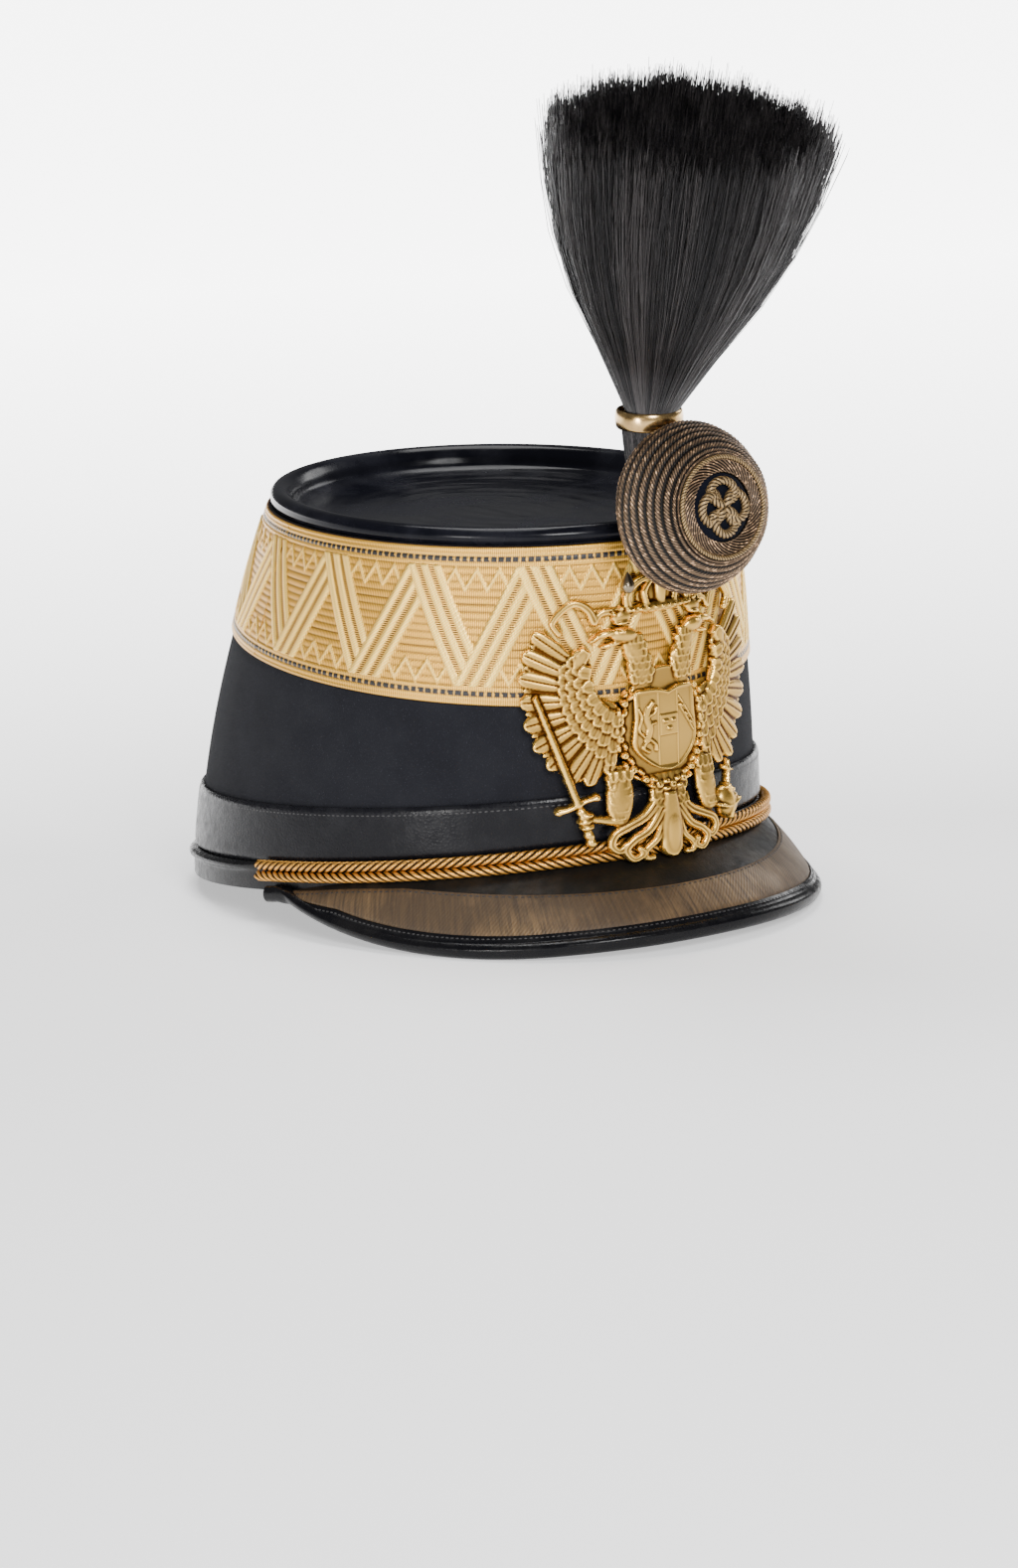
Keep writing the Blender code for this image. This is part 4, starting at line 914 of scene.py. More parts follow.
def scale_leaf(start, end, half_width, foot, crest):
    """A scale: a rounded leaf with a raised lip and a shallow middle vein."""
    along, across, length = stroke_frame(start, end)
    t = along / length
    ahead = np.clip((t - 0.35) / 0.65, 0, 1)
    edge = half_width * np.sqrt(np.maximum(1 - ahead ** 2, 0))
    inside = (np.abs(across) < edge) & (t > 0) & (t < 1)
    reach = np.maximum(np.abs(across) / half_width, ahead)
    lip = 0.2 * np.exp(-((reach - 0.8) / 0.12) ** 2) - 0.45 * smooth_step(0.86, 1.0, reach)
    raise_sheet(foot + crest * (0.2 + 0.8 * t) + lip - 0.18 * np.exp(-(across / 0.3) ** 2), inside)


def body_leaf(start, end, half_width, foot, crest, blunt=0.5):
    """A smooth swelling: half an ellipse along and across, raised to the power blunt."""
    along, across, length = stroke_frame(start, end)
    away = 1 - (2 * along / length - 1) ** 2 - (across / half_width) ** 2
    raise_sheet(foot + crest * np.maximum(away, 0) ** blunt, away > 0)


def scroll(points, half_width, foot, crest, groove=0.0):
    """A rounded band along a smooth curve, narrowing to its end, with a groove in it."""
    line = smooth_line(points, 26 * len(points))
    share = np.linspace(0, 1, len(line))
    nearest = np.full(grid_x.shape, 9.0)
    width = np.full(grid_x.shape, half_width)
    for place, (x, y) in zip(share, line):
        away = np.hypot(grid_x - x, grid_y - y)
        closer = away < nearest
        nearest = np.where(closer, away, nearest)
        width = np.where(closer, half_width * (1 - 0.35 * place), width)
    bow = np.sqrt(np.maximum(1 - (nearest / width) ** 2, 0))
    raise_sheet(foot + crest * bow - groove * np.exp(-(nearest / 0.4) ** 2), nearest < width)


def both(draw, points, *values):
    """Draw a stroke on the right and its mirror on the left."""
    for side in (1, -1):
        mirrored = [(x * side, y) for x, y in points]
        if draw is scroll:
            draw(mirrored, *values)
        else:
            draw(*mirrored, *values)


# %% [markdown]
# Wings come first. Long feathers fan out from the wing's bones, a second row lies between them,
# and rows of scales climb from the feathers to the wrist. Each later row starts higher, so it
# laps over the one before it.

# %% Wings
WING_FEATHERS = [
    ((31, 71), (45.5, 83), 2.6), ((32.5, 67), (49, 76.5), 2.8), ((33.5, 63), (50.6, 68.5), 2.9),
    ((33.5, 58.5), (50.4, 59.8), 3.0), ((33, 54), (49.2, 51.3), 3.0), ((31, 50), (46.2, 43.2), 3.0),
    ((28.5, 46.5), (41.6, 36), 2.9), ((25, 44), (35.6, 30), 2.8), ((21.5, 43.5), (28.4, 28.6), 2.6),
    ((18.5, 45.5), (21.2, 31.5), 2.3)]
for number, (root, tip, half_width) in enumerate(WING_FEATHERS):
    both(plume_leaf, [root, tip], half_width, 0.7 + 0.25 * (number % 2), 1.35, 0.6)
for first, second in zip(WING_FEATHERS, WING_FEATHERS[1:]):
    root = np.add(first[0], second[0]) / 2
    tip = root + (np.add(first[1], second[1]) / 2 - root) * 0.93
    both(plume_leaf, [tuple(root), tuple(tip)], 1.0, 0.5, 0.7)
WING_FLESH = [((29.5, 76.2), (31, 56), 4.4), ((34, 68), (30, 50), 5.4), ((32, 60), (20, 42), 6.4),
              ((29, 55), (16.5, 52), 4.2), ((26, 52), (18, 38), 5.4)]
for root, tip, half_width in WING_FLESH:
    both(body_leaf, [root, tip], half_width, 1.0, 1.1)
COVERT_ROWS = [((34.5, 70), (38, 52), (19.5, 36.5), 11), ((32, 72.5), (35.5, 53), (18.5, 41), 10),
               ((30, 74.5), (32, 54), (17.5, 46), 9), ((28.6, 74.5), (28.5, 55), (17.5, 50), 7)]
for number, (first, bend, last, count) in enumerate(COVERT_ROWS):
    for step in np.linspace(0.02, 0.98, count):
        place = ((1 - step) ** 2 * np.array(first) + 2 * step * (1 - step) * np.array(bend)
                 + step ** 2 * np.array(last))
        heading = math.radians(38 - 128 * step)
        ahead = np.array([math.cos(heading), math.sin(heading)])
        both(scale_leaf, [tuple(place - 2.1 * ahead), tuple(place + 2.6 * ahead)],
             2.35, 1.75 + 0.3 * number, 0.75)
both(body_leaf, [(28, 76.6), (31.6, 70)], 2.0, 2.4, 1.0)

# %% [markdown]
# Necks, heads and crowns follow. The scales of a neck point down, towards the body. Legs,
# talons, the collar's chain and the scrolled tail finish the bird, and then the sword and orb.

# %% Heads, crowns and ribbons
both(body_leaf, [(7.5, 57.5), (9.4, 75)], 5.0, 0.9, 2.0)
both(body_leaf, [(8.6, 66), (12.8, 80.5)], 3.9, 1.0, 2.2)
both(body_leaf, [(9.6, 78.4), (19.8, 79.8)], 2.9, 1.6, 2.6)
both(body_leaf, [(17, 80.8), (24.5, 79.6)], 1.4, 2.2, 1.5)
both(body_leaf, [(22.5, 80.2), (27, 77.6)], 0.9, 2.0, 1.4)
both(body_leaf, [(14.5, 76.8), (23.4, 75.6)], 1.0, 1.6, 1.2)
both(body_leaf, [(14.6, 80.6), (16.6, 80.6)], 0.75, 4.2, 0.8)
for row in range(7):
    for column in range(-1, 3):
        x = 7.6 + 0.35 * row + (column - 0.5 + 0.5 * (row % 2)) * (2.7 - 0.16 * row)
        y = 62.5 + 2.35 * row
        if abs(x - (8.0 + 0.42 * row)) < 4.0 - 0.22 * row:
            both(scale_leaf, [(x, y + 2.3), (x - 0.2, y - 1.3)], 1.45, 2.3 + 0.05 * row, 0.6)
both(body_leaf, [(11.6, 85.4), (18.6, 84.8)], 2.5, 1.6, 1.5)
both(body_leaf, [(12.6, 83.4), (17.8, 83.0)], 0.8, 2.6, 1.2)
for x, y in ((12.4, 87.2), (15.2, 88.2), (18.0, 86.6)):
    both(body_leaf, [(x - 0.9, y), (x + 0.9, y)], 0.9, 2.4, 1.2)
both(scroll, [(11.5, 86.3), (17, 87.3), (21.5, 87.2), (24.2, 84.6)], 1.5, 0.9, 1.2, 0.5)
both(scroll, [(24.2, 84.6), (26, 88.6), (29.5, 91.2), (33.5, 90.6), (38.3, 86), (36.4, 81.8)],
     1.6, 1.0, 1.2, 0.5)
body_leaf((-13.6, 87), (13.6, 87), 2.0, 1.2, 1.8, 0.3)
for x in np.linspace(-11, 11, 9):
    body_leaf((x - 0.8, 87), (x + 0.8, 87), 0.8, 2.6, 1.2)
both(scroll, [(12.4, 87.5), (12.6, 92.5), (8, 96.6), (1.2, 97.6)], 1.7, 1.4, 1.6, 0.5)
both(scroll, [(5.6, 88), (6.4, 92.5), (4, 96), (0.6, 97.4)], 1.2, 1.6, 1.6, 0.4)
body_leaf((0, 86), (0, 99), 2.2, 1.4, 2.0)
body_leaf((-9, 91), (9, 91), 4.6, 0.6, 0.8)
body_leaf((0, 96.4), (0, 101.4), 0.8, 2.0, 1.0)
body_leaf((-2.2, 99.4), (2.2, 99.4), 0.75, 2.0, 1.0)

# %% Legs, tail, sword and orb
both(body_leaf, [(17, 34.5), (18.6, 13.4)], 4.8, 1.0, 2.3)
both(body_leaf, [(12.4, 30.4), (22.6, 30.4)], 2.8, 1.0, 2.0)
for row in range(6):
    for column in (-1, 0, 1):
        x = 17.6 + column * (2.7 - 0.32 * row) + 0.15 * row + 0.9 * (row % 2 - 0.5)
        y = 30.5 - 2.6 * row
        both(scale_leaf, [(x, y + 2.4), (x, y - 1.5)], 1.6 - 0.08 * row, 2.6 - 0.05 * row, 0.65)
both(scroll, [(18.5, 15.8), (22, 16.4), (26.5, 17.4), (29.5, 17.8)], 1.7, 1.2, 1.6)
for x, y in ((30.4, 19.6), (31.2, 17.6), (30.4, 15.6)):
    both(body_leaf, [(x - 3.4, y), (x + 1.6, y - 0.4)], 1.1, 2.6, 1.6)
body_leaf((0, 31), (0, 11), 7.3, 1.0, 1.4)
for row in range(4):
    for column in range(-2, 3):
        x = (column + 0.5 * (row % 2)) * 2.7
        y = 27.4 - 2.5 * row
        scale_leaf((x, y + 2.2), (x * 1.02, y - 1.6), 1.6, 2.0 - 0.05 * row, 0.65)
both(scroll, [(3.6, 22), (9, 16.4), (15, 13.6), (20, 11.2), (21.2, 7.6), (18.6, 5.3), (16.4, 7.2)],
     1.9, 1.0, 1.6, 0.7)
both(scroll, [(3.4, 18), (8.2, 11.6), (13.6, 8.6), (16.4, 5.4), (14, 1.8), (10.6, 3.2), (11.8, 5.2)],
     1.8, 1.2, 1.6, 0.7)
both(scroll, [(2.8, 15), (5.4, 8), (9.4, 4.4), (9.6, 1.6), (6.8, 1.2)], 1.5, 1.1, 1.4, 0.5)
both(scroll, [(4.4, 24), (5.2, 17), (8.6, 12)], 1.6, 1.3, 1.2, 0.4)
plume_leaf((0, 23), (0, 0.4), 4.1, 1.7, 1.7, 0.0)
body_leaf((0, 16.5), (0, 1.6), 2.6, 3.0, 0.9)
scroll([(-32, 23.5), (-45, 61)], 1.45, 3.0, 1.5)
scroll([(-38.2, 21.6), (-35, 22.2), (-30, 24.2), (-26.2, 24.8)], 1.35, 2.4, 1.5)
for x, y in ((-38.4, 21.5), (-26, 24.9)):
    body_leaf((x - 1.5, y), (x + 1.5, y), 1.5, 2.2, 1.7)
for step in range(5):
    body_leaf((-31.9 + 0.7 * step, 22.4 - 2.7 * step), (-29.9 + 0.7 * step, 18.9 - 2.7 * step), 1.7, 2.3, 1.5)
body_leaf((27.8 - 5.8, 15.5), (27.8 + 5.8, 15.5), 5.8, 1.2, 3.4)
scroll([(22.2, 15.0), (27.8, 14.2), (33.4, 16.2)], 0.8, 4.0, 0.7)
scroll([(27.6, 21.2), (28.4, 15.4), (27.4, 9.8)], 0.8, 4.0, 0.7)
scroll([(29, 20.6), (30.4, 25), (31.6, 29)], 0.95, 1.6, 1.3)
scroll([(28.6, 26.9), (33.4, 25.4)], 0.95, 1.6, 1.3)

# %% [markdown]
# The chest is a flat oval that carries the shield, with the collar's chain round it: rosettes
# at the sides and small bars below, as the links turn with the oval.

# %% Chest and collar
CHEST_HALF_WIDTH, CHEST_HALF_HEIGHT, CHEST_HEIGHT = 17.0, 20.4, 46.0
away = 1 - (grid_x / CHEST_HALF_WIDTH) ** 2 - ((grid_y - CHEST_HEIGHT) / CHEST_HALF_HEIGHT) ** 2
raise_sheet(0 * grid_x + 1.7, away > 0)
LINKS = 30
for link, swing in enumerate(np.linspace(math.radians(-36), math.radians(216), LINKS)):
    x, y = CHEST_HALF_WIDTH * math.cos(swing), CHEST_HEIGHT - CHEST_HALF_HEIGHT * math.sin(swing)
    run = (-CHEST_HALF_WIDTH * math.sin(swing), -CHEST_HALF_HEIGHT * math.cos(swing))
    ahead = np.array(run) / math.hypot(*run)
    square = np.array([-ahead[1], ahead[0]])
    middle = np.array([x, y])
    if link % 2:
        for sign in (-1, 1):
            bar = middle + sign * square * 1.15
            body_leaf(bar - ahead * 1.5, bar + ahead * 1.5, 0.75, 2.2, 1.3)
    else:
        body_leaf(middle - ahead * 1.35, middle + ahead * 1.35, 1.35, 2.1, 1.5)
        sheet[np.hypot(grid_x - x, grid_y - y) < 0.5] = 2.7

# %% [markdown]
# The sheet now becomes metal. Points just outside the drawing are slid onto its outline, which
# turns the steps of the grid into a clean edge, and the badge is bent round the crown. It
# stands further off the wall at its foot, where the cord passes behind it.


# %% Bend and build the eagle
def badge_point(across, up, depth):
    """Across becomes an arc of the oval, up a height, and depth a distance off the wall."""
    scale = BADGE_HEIGHT / 100
    height = np.maximum(BADGE_FOOT + up * scale, 0)
    side = BADGE_CENTRE + across * scale * np.where(across > 0, BADGE_FAR_WING, 1.0)
    half_width, half_length, _ = oval(height / CROWN_HEIGHT)
    arc = side / half_width
    angle = arc * (1 - (half_length ** 2 - half_width ** 2) / (6 * half_width ** 2) * arc ** 2)
    cord_top = CORD_HEIGHT + 2 * CORD_RADIUS + CORD_RISE
    lift = 4 * GAP + TRIM + 2 * CORD_RADIUS - BADGE_STANDOFF
    lift = lift * (1 - smooth_step(cord_top, 4 * cord_top, height))
    return wall(angle, share_at(angle, height), BADGE_STANDOFF + lift + depth * scale)


def blur(field, times):
    """Each round replaces a value by the mean of itself and its four neighbours."""
    for _ in range(times):
        padded = np.pad(field, 1, mode="edge")
        field = (2 * field + padded[:-2, 1:-1] + padded[2:, 1:-1]
                 + padded[1:-1, :-2] + padded[1:-1, 2:]) / 6
    return field


def cut_sheet(cover):
    """Cells inside the drawing, and points moved onto the line where the cover is one half."""
    field = blur(cover.astype(float), 2) - 0.5
    cells = (field[:-1, :-1] + field[1:, :-1] + field[:-1, 1:] + field[1:, 1:]) > 0
    slope_x, slope_y = np.gradient(field, CELL)
    steep = np.maximum(slope_x ** 2 + slope_y ** 2, 1e-4)
    used = np.zeros(cover.shape, bool)
    for shift in ((0, 0), (1, 0), (0, 1), (1, 1)):
        used[shift[0]:cells.shape[0] + shift[0], shift[1]:cells.shape[1] + shift[1]] |= cells
    padded = np.pad(cells, 1)
    inner = padded[:-1, :-1] & padded[1:, :-1] & padded[:-1, 1:] & padded[1:, 1:]
    rim = used & ~inner
    move = np.clip(field / steep, -0.8 * CELL, 0.8 * CELL)
    x = np.where(rim, grid_x - np.clip(move * slope_x, -0.5 * CELL, 0.5 * CELL), grid_x)
    y = np.where(rim, grid_y - np.clip(move * slope_y, -0.5 * CELL, 0.5 * CELL), grid_y)
    return cells, used, rim, x, y


def build_sheet(name, field, back, finish, nodes):
    """A closed sheet of metal: the relief in front, a flat back, and walls along each rim."""
    cells, used, rim, x, y = cut_sheet(field > 0)
    front_depth = np.maximum(np.where(rim, np.minimum(field, 1.0), field), back + 0.5)
    index = np.cumsum(used.ravel()).reshape(used.shape) - 1
    count = int(used.sum())
    front = badge_point(x[used], y[used], front_depth[used])
    rear = badge_point(x[used], y[used], np.full(count, back))
    row, column = np.nonzero(cells)
    quads = np.stack([index[row, column], index[row + 1, column], index[row + 1, column + 1],
                      index[row, column + 1]], 1)
    edges = np.concatenate([quads[:, [0, 1]], quads[:, [1, 2]], quads[:, [2, 3]], quads[:, [3, 0]]])
    keys = edges[:, 0] * count + edges[:, 1]
    lone = edges[~np.isin(edges[:, 1] * count + edges[:, 0], keys)]
    walls = np.stack([lone[:, 1], lone[:, 0], lone[:, 0] + count, lone[:, 1] + count], 1)
    faces = np.concatenate([quads, quads[:, ::-1] + count, walls])
    points = np.concatenate([front, rear])
    if signed_volume(points, np.concatenate([faces[:, [0, 1, 2]], faces[:, [0, 2, 3]]])) < 0:
        faces = faces[:, ::-1]
    # The depth mark paints shade: low relief and hollows come out darker, crests brighter.
    crest = np.concatenate([front_depth[used] / 4.5, np.zeros(count)])
    cavity_shade = np.concatenate([(field - blur(np.maximum(field, 0), 6))[used], np.zeros(count)])
    marks = {"depth": np.clip(0.3 + 0.2 * crest + 1.7 * cavity_shade, 0, 1)}
    mesh = fill_mesh(name, to_world(points), faces, np.zeros((0, 3), int), None, marks, 180)
    return place_piece(name, mesh, finish, nodes)


relief_field = np.where(sheet > 0, blur(np.maximum(sheet, 0.4), 1), -1)
eagle = build_sheet("eagle_relief", relief_field, 0.0, gilt.material, ["eagle_badge"])
print("eagle:", len(eagle.data.polygons), "faces")

# %% [markdown]
# The shield is a separate casting: an arched plate with a rounded rim, divided into three
# upright fields. A rampant beast, a bar and a slanted band of small birds fill them, drawn with
# the same strokes on a finer grid of its own.

# %% Shield
CELL = 0.2
grid_x, grid_y = np.meshgrid(np.arange(-15, 15, CELL), np.arange(29, 61.5, CELL), indexing="ij")
outline = smooth_line([(0, 58.2), (4, 59.4), (8, 59.6), (12, 58.8), (12.3, 54), (12.3, 50), (12.9, 45),
                       (13.2, 41), (11.6, 37.6), (8, 34.2), (4.5, 32), (0, 30.7)], 90)
side = np.interp(grid_y, outline[25:, 1][::-1], outline[25:, 0][::-1])
crown_line = np.interp(np.abs(grid_x), outline[:26, 0], outline[:26, 1])
inside = (np.abs(grid_x) < side) & (grid_y < crown_line) & (grid_y > 30.7)
margin = np.minimum(side - np.abs(grid_x), crown_line - grid_y)
margin = np.minimum(margin, (grid_y - 30.7) * 0.9 + 0.2)
dome = 2.9 + 1.5 * np.sqrt(np.clip(1 - (grid_x / 15) ** 2 - ((grid_y - 46) / 19) ** 2, 0, 1))
rim_roll = 0.42 * np.exp(-((margin - 0.8) / 0.45) ** 2)
sink = -0.25 * smooth_step(1.5, 1.9, margin)
pales = 0.3 * (np.exp(-((np.abs(grid_x) - 3.9) / 0.25) ** 2)) * (margin > 1.6)
sheet = np.where(inside, dome + rim_roll + sink + pales, -1.0)


def charge(points, half_width, crest):
    """A stroke that follows the dome of the shield, drawn along a smooth curve."""
    line = smooth_line(points, 16 * len(points))
    nearest = np.min([np.hypot(grid_x - x, grid_y - y) for x, y in line], axis=0)
    bow = np.sqrt(np.maximum(1 - (nearest / half_width) ** 2, 0))
    drawn = (nearest < half_width) & inside
    np.maximum(sheet, np.where(drawn, dome - 0.25 + crest * bow, -1), out=sheet)


BEAST = [([(-8.2, 42), (-7.2, 46), (-8.4, 50), (-7.6, 53)], 1.2), ([(-7.6, 53), (-6.2, 54.6)], 1.0),
         ([(-8, 50), (-5.4, 51.4), (-4.8, 53)], 0.55), ([(-7.6, 47.4), (-5.2, 47.8)], 0.55),
         ([(-8.2, 42), (-9.6, 39.6), (-7.8, 38)], 0.7), ([(-7.4, 42.4), (-5.4, 40.4), (-5, 38.4)], 0.7),
         ([(-9, 43), (-11, 46), (-10, 50), (-11, 53)], 0.5)]
for points, half_width in BEAST:
    charge(points, half_width, 1.0)
block = inside & (np.abs(grid_x) < 3.6) & (np.abs(grid_y - 46.5) < 3.6)
np.maximum(sheet, np.where(block, dome + 0.15, -1), out=sheet)
for x, y in ((-1.6, 47.8), (1.6, 47.8), (0, 45.2)):
    charge([(x - 0.5, y), (x + 0.5, y)], 0.8, 1.0)
for offset in (-1.5, 1.5):
    charge([(4.6, 54 + offset), (11.4, 44.5 + offset)], 0.4, 0.65)
for step in range(3):
    x, y = 5.8 + 2.2 * step, 52.3 - 3.1 * step
    charge([(x - 0.7, y + 0.3), (x, y - 0.3), (x + 0.7, y + 0.3)], 0.45, 1.0)
shield_field = np.where(inside, blur(np.maximum(sheet, 2.8), 1), -1)
build_sheet("shield_relief", shield_field, 2.2, gilt.material, ["badge_shield"])

# %% [markdown]
# The cockade is a domed boss wound with bullion: rows of stiff wire coil laid round and round,
# each row a little rope. The boss is a turned profile whose radius swells once for each row,
# with the coil's windings as a finer ripple on top.

# %% Cockade boss
COCKADE_HEIGHT, COCKADE_RADIUS, COCKADE_DEPTH = 122.0 * MM, 29.0 * MM, 25.0 * MM
FACE_RADIUS, VELVET_RADIUS, COCKADE_TRIM = 18.0 * MM, 11.5 * MM, 1.4 * MM
SOCKET_RADIUS, SOCKET_FOOT, SOCKET_TOP = 6.2 * MM, 104.5 * MM, 124.0 * MM
lace_front = max(-float(wall(0.0, share_at(np.array(0.0), height), GAP + TRIM)[..., 1])
                 for height in (SOCKET_FOOT, CROWN_HEIGHT - TOP_SLOPE * TOP_HALF_LENGTH))
SOCKET_FORWARD = lace_front + GAP + SOCKET_RADIUS
COCKADE_BACK = SOCKET_FORWARD + SOCKET_RADIUS + GAP


def cockade_point(angle, radius, forward):
    """Round an axis that points forward from the cockade's back."""
    return np.stack([radius * np.sin(angle), -(COCKADE_BACK + forward) + 0 * angle,
                     COCKADE_HEIGHT + radius * np.cos(angle)], -1)


BULLION_ROWS = 12
dome_line = smooth_line([(0.82, 0.0), (0.93, 0.06), (1.0, 0.22), (0.975, 0.42), (0.893, 0.6), (0.8, 0.78),
                         (0.68, 0.93), (0.62, 1.0)], 128)
run = np.linspace(0, 1, 128)[:, None]
angle = turns(720)[None, :]
bead = np.abs(np.sin(math.pi * BULLION_ROWS * run)) ** 0.6
row_number = np.floor(BULLION_ROWS * run)
coil = np.abs(np.sin(52 * angle + 30 * run * math.pi + 1.9 * row_number)) ** 0.8
uneven = 0.12 * np.sin(3 * angle + 2.1 * row_number) + 0.08 * np.sin(7 * angle + 4.7 * row_number)
ripple = (1.35 * bead * (0.5 + 0.5 * coil) + uneven * bead - 0.9) * MM
slope = unit(np.gradient(dome_line * [COCKADE_RADIUS, COCKADE_DEPTH], axis=0))
radius = dome_line[:, :1] * COCKADE_RADIUS + ripple * slope[:, 1:]
forward = dome_line[:, 1:] * COCKADE_DEPTH - ripple * slope[:, :1]
seat = COCKADE_DEPTH - COCKADE_TRIM - GAP
back_end = np.array([(0.4 * COCKADE_RADIUS, 0.0)])
face_end = np.array([(FACE_RADIUS - 1.5 * MM, COCKADE_DEPTH - 0.4 * MM), (FACE_RADIUS - 1.6 * MM, seat),
                     (0.3 * FACE_RADIUS, seat)])
radius = np.concatenate([back_end[:, :1] + 0 * angle, radius, face_end[:, :1] + 0 * angle])
forward = np.concatenate([back_end[:, 1:] + 0 * angle, forward, face_end[:, 1:] + 0 * angle])
# Painted shade and glints: dark between the rows, bright on the coil's windings.
painted_glint_and_shade = bead ** 1.5 * (0.15 + 0.85 * coil)
depth = np.concatenate([0 * angle, painted_glint_and_shade, 0 * angle, 0 * angle, 0 * angle])
wide = np.concatenate([angle, angle[:, :1] + 2 * math.pi], 1) * COCKADE_RADIUS
uv = np.stack([wide + 0 * radius[:, :1], np.linspace(0, 45 * MM, len(radius))[:, None] + 0 * wide], -1)
make_piece("cockade_bullion", cockade_point(angle, radius, forward), bullion.material,
           ["cockade_boss"], uv=uv, marks={"depth": depth}, sharp=180)

# %% [markdown]
# On its face lies a flat ring of straight threads that slant like spokes, with ropes round
# both its edges, a disc of velvet, and a knot of bullion cord on the velvet: a plain looped
# rosette.

# %% Cockade ring, velvet and knot
base = seat + GAP
SPOKES = 50
rows = np.linspace(0, 1, 26)[:, None]
ring_radius = VELVET_RADIUS + GAP + (FACE_RADIUS - 1.5 * MM - VELVET_RADIUS - 2 * GAP) * rows
angle = turns(SPOKES * 10)[None, :]
spoke = np.abs(np.cos(SPOKES / 2 * (angle + 0.5 * rows))) ** 1.4
edge_rope = np.exp(-((rows - 0.06) / 0.06) ** 2) + np.exp(-((rows - 0.95) / 0.05) ** 2)
swell = COCKADE_TRIM * (0.35 + 0.55 * spoke ** 0.7 + 0.3 * edge_rope * np.abs(np.cos(70 * angle)))
ring_front = cockade_point(angle, ring_radius + 0 * angle, base + swell)
back_radius = ring_radius[[0, -1]] + 0 * angle
ring_back = cockade_point(angle, back_radius, base + 0 * back_radius)
ring_points = np.concatenate([ring_front, ring_back[::-1]])
# Painted shade: dark between the spokes, bright on them and on the edge ropes.
ring_spoke_shade = np.concatenate([np.maximum(spoke, edge_rope * np.abs(np.cos(70 * angle))), 0 * angle, 0 * angle])
uv = np.zeros((len(ring_points) + 1, angle.shape[1] + 1, 2))
make_piece("cockade_spoke_ring", ring_points, bullion.material, ["cockade_ring"], wrap_rows=True,
           uv=uv, marks={"depth": ring_spoke_shade}, sharp=180)

plush_rows = np.array([(0.02, 0.0), (0.98, 0.0), (1.0, 0.25), (0.97, 0.45), (0.6, 0.5), (0.02, 0.52)])
angle = turns(96)[None, :]
plush = cockade_point(angle, plush_rows[:, :1] * VELVET_RADIUS + 0 * angle,
                      base + plush_rows[:, 1:] * COCKADE_TRIM + 0 * angle)
make_piece("cockade_plush", plush, velvet.material, ["cockade_velvet"])

loop_turn = np.linspace(0, 2 * math.pi, 900)
loop_radius = 9.3 * MM * (0.56 + 0.42 * np.cos(4 * loop_turn))
loop_angle = loop_turn + 0.5 * np.sin(4 * loop_turn)
over = 0.5 * MM * np.sin(8 * loop_turn)
knot_path = cockade_point(loop_angle, loop_radius, base + 0.5 * COCKADE_TRIM + 1.1 * MM + over)
facing = np.tile([0.0, -1.0, 0.0], (len(knot_path), 1))
rim_turn = np.linspace(0, 2 * math.pi, 900)
rim_path = cockade_point(rim_turn, FACE_RADIUS - 0.9 * MM + 0 * rim_turn, COCKADE_DEPTH + 0.1 * MM)
points, uv, marks = rope(rim_path[:-1], facing[:-1], 0.85 * MM, 3, 3.2 * MM, 1, 12, 0.3)
make_piece("cockade_rim_rope", points, knot_gold.material, wrap_rows=True,
           uv=np.concatenate([uv, uv[:1]]), marks=marks, sharp=180)
points, uv, marks = rope(knot_path[:-1], facing[:-1], 1.5 * MM, 4, 5.6 * MM, 1, 16, 0.3)
make_piece("cockade_knot", points, knot_gold.material, ["cockade_ornament"], wrap_rows=True,
           uv=np.concatenate([uv, uv[:1]]), marks=marks, sharp=180)
for number in range(4):
    turn = math.pi / 4 + number * math.pi / 2
    reach = np.linspace(1.5, 8.4, 60) * MM
    curl = turn + 0.35 * np.sin(np.linspace(0, math.pi, 60))
    path = cockade_point(curl, reach, base + 0.5 * COCKADE_TRIM + 0.7 * MM + 0 * reach)
    points, uv, marks = rope(path, facing[:60], 1.3 * MM, 4, 4.8 * MM, 1, 14, 0.3)
    make_piece(f"cockade_spray_{number}", points, knot_gold.material, uv=uv, marks=marks,
               sharp=180)

# %% [markdown]
# The plume's socket is a short leather tube behind the cockade. A stem of bound hair rises from
# it to a polished ring, and above the ring the hair spreads.

# %% Socket, ring and knob
def upright_point(angle, radius, height):
    return np.stack([radius * np.sin(angle), radius * np.cos(angle) - SOCKET_FORWARD, height + 0 * angle], -1)


SOCKET_WALL = 1.6 * MM
tube = np.array([(1, 0.0), (1.02, 0.03), (1, 0.1), (1, 0.9), (1.03, 0.96), (1, 1.0)])
bore = (SOCKET_RADIUS - SOCKET_WALL) / SOCKET_RADIUS
tube = np.concatenate([tube, [(bore, 1.0), (bore, 0.0)]])
angle = turns(64)[None, :]
socket_grid = upright_point(angle, tube[:, :1] * SOCKET_RADIUS + 0 * angle,
                            SOCKET_FOOT + tube[:, 1:] * (SOCKET_TOP - SOCKET_FOOT) + 0 * angle)
make_piece("socket_leather", socket_grid, band_leather.material, ["plume_socket"],
           wrap_rows=True)

FERRULE_HEIGHT, FERRULE_FORWARD = 152.8 * MM, 132.2 * MM
FERRULE_RADIUS, FERRULE_LENGTH, FERRULE_WALL = 11.7 * MM, 6.5 * MM, 0.9 * MM
FERRULE_TILT, PLUME_LEAN = math.radians(9.5), math.radians(20.5)
PLUME_LENGTH, PLUME_RADIUS = 108.0 * MM, 48.0 * MM


def leaning(tilt, points):
    """Turn points about X by the tilt, at the middle of the ring."""
    turn = np.array(Matrix.Rotation(tilt, 3, "X"))
    return points @ turn.T + np.array([0, -FERRULE_FORWARD, FERRULE_HEIGHT])


def round_points(angle, radius, along):
    return np.stack([radius * np.sin(angle), -radius * np.cos(angle), along + 0 * angle], -1)


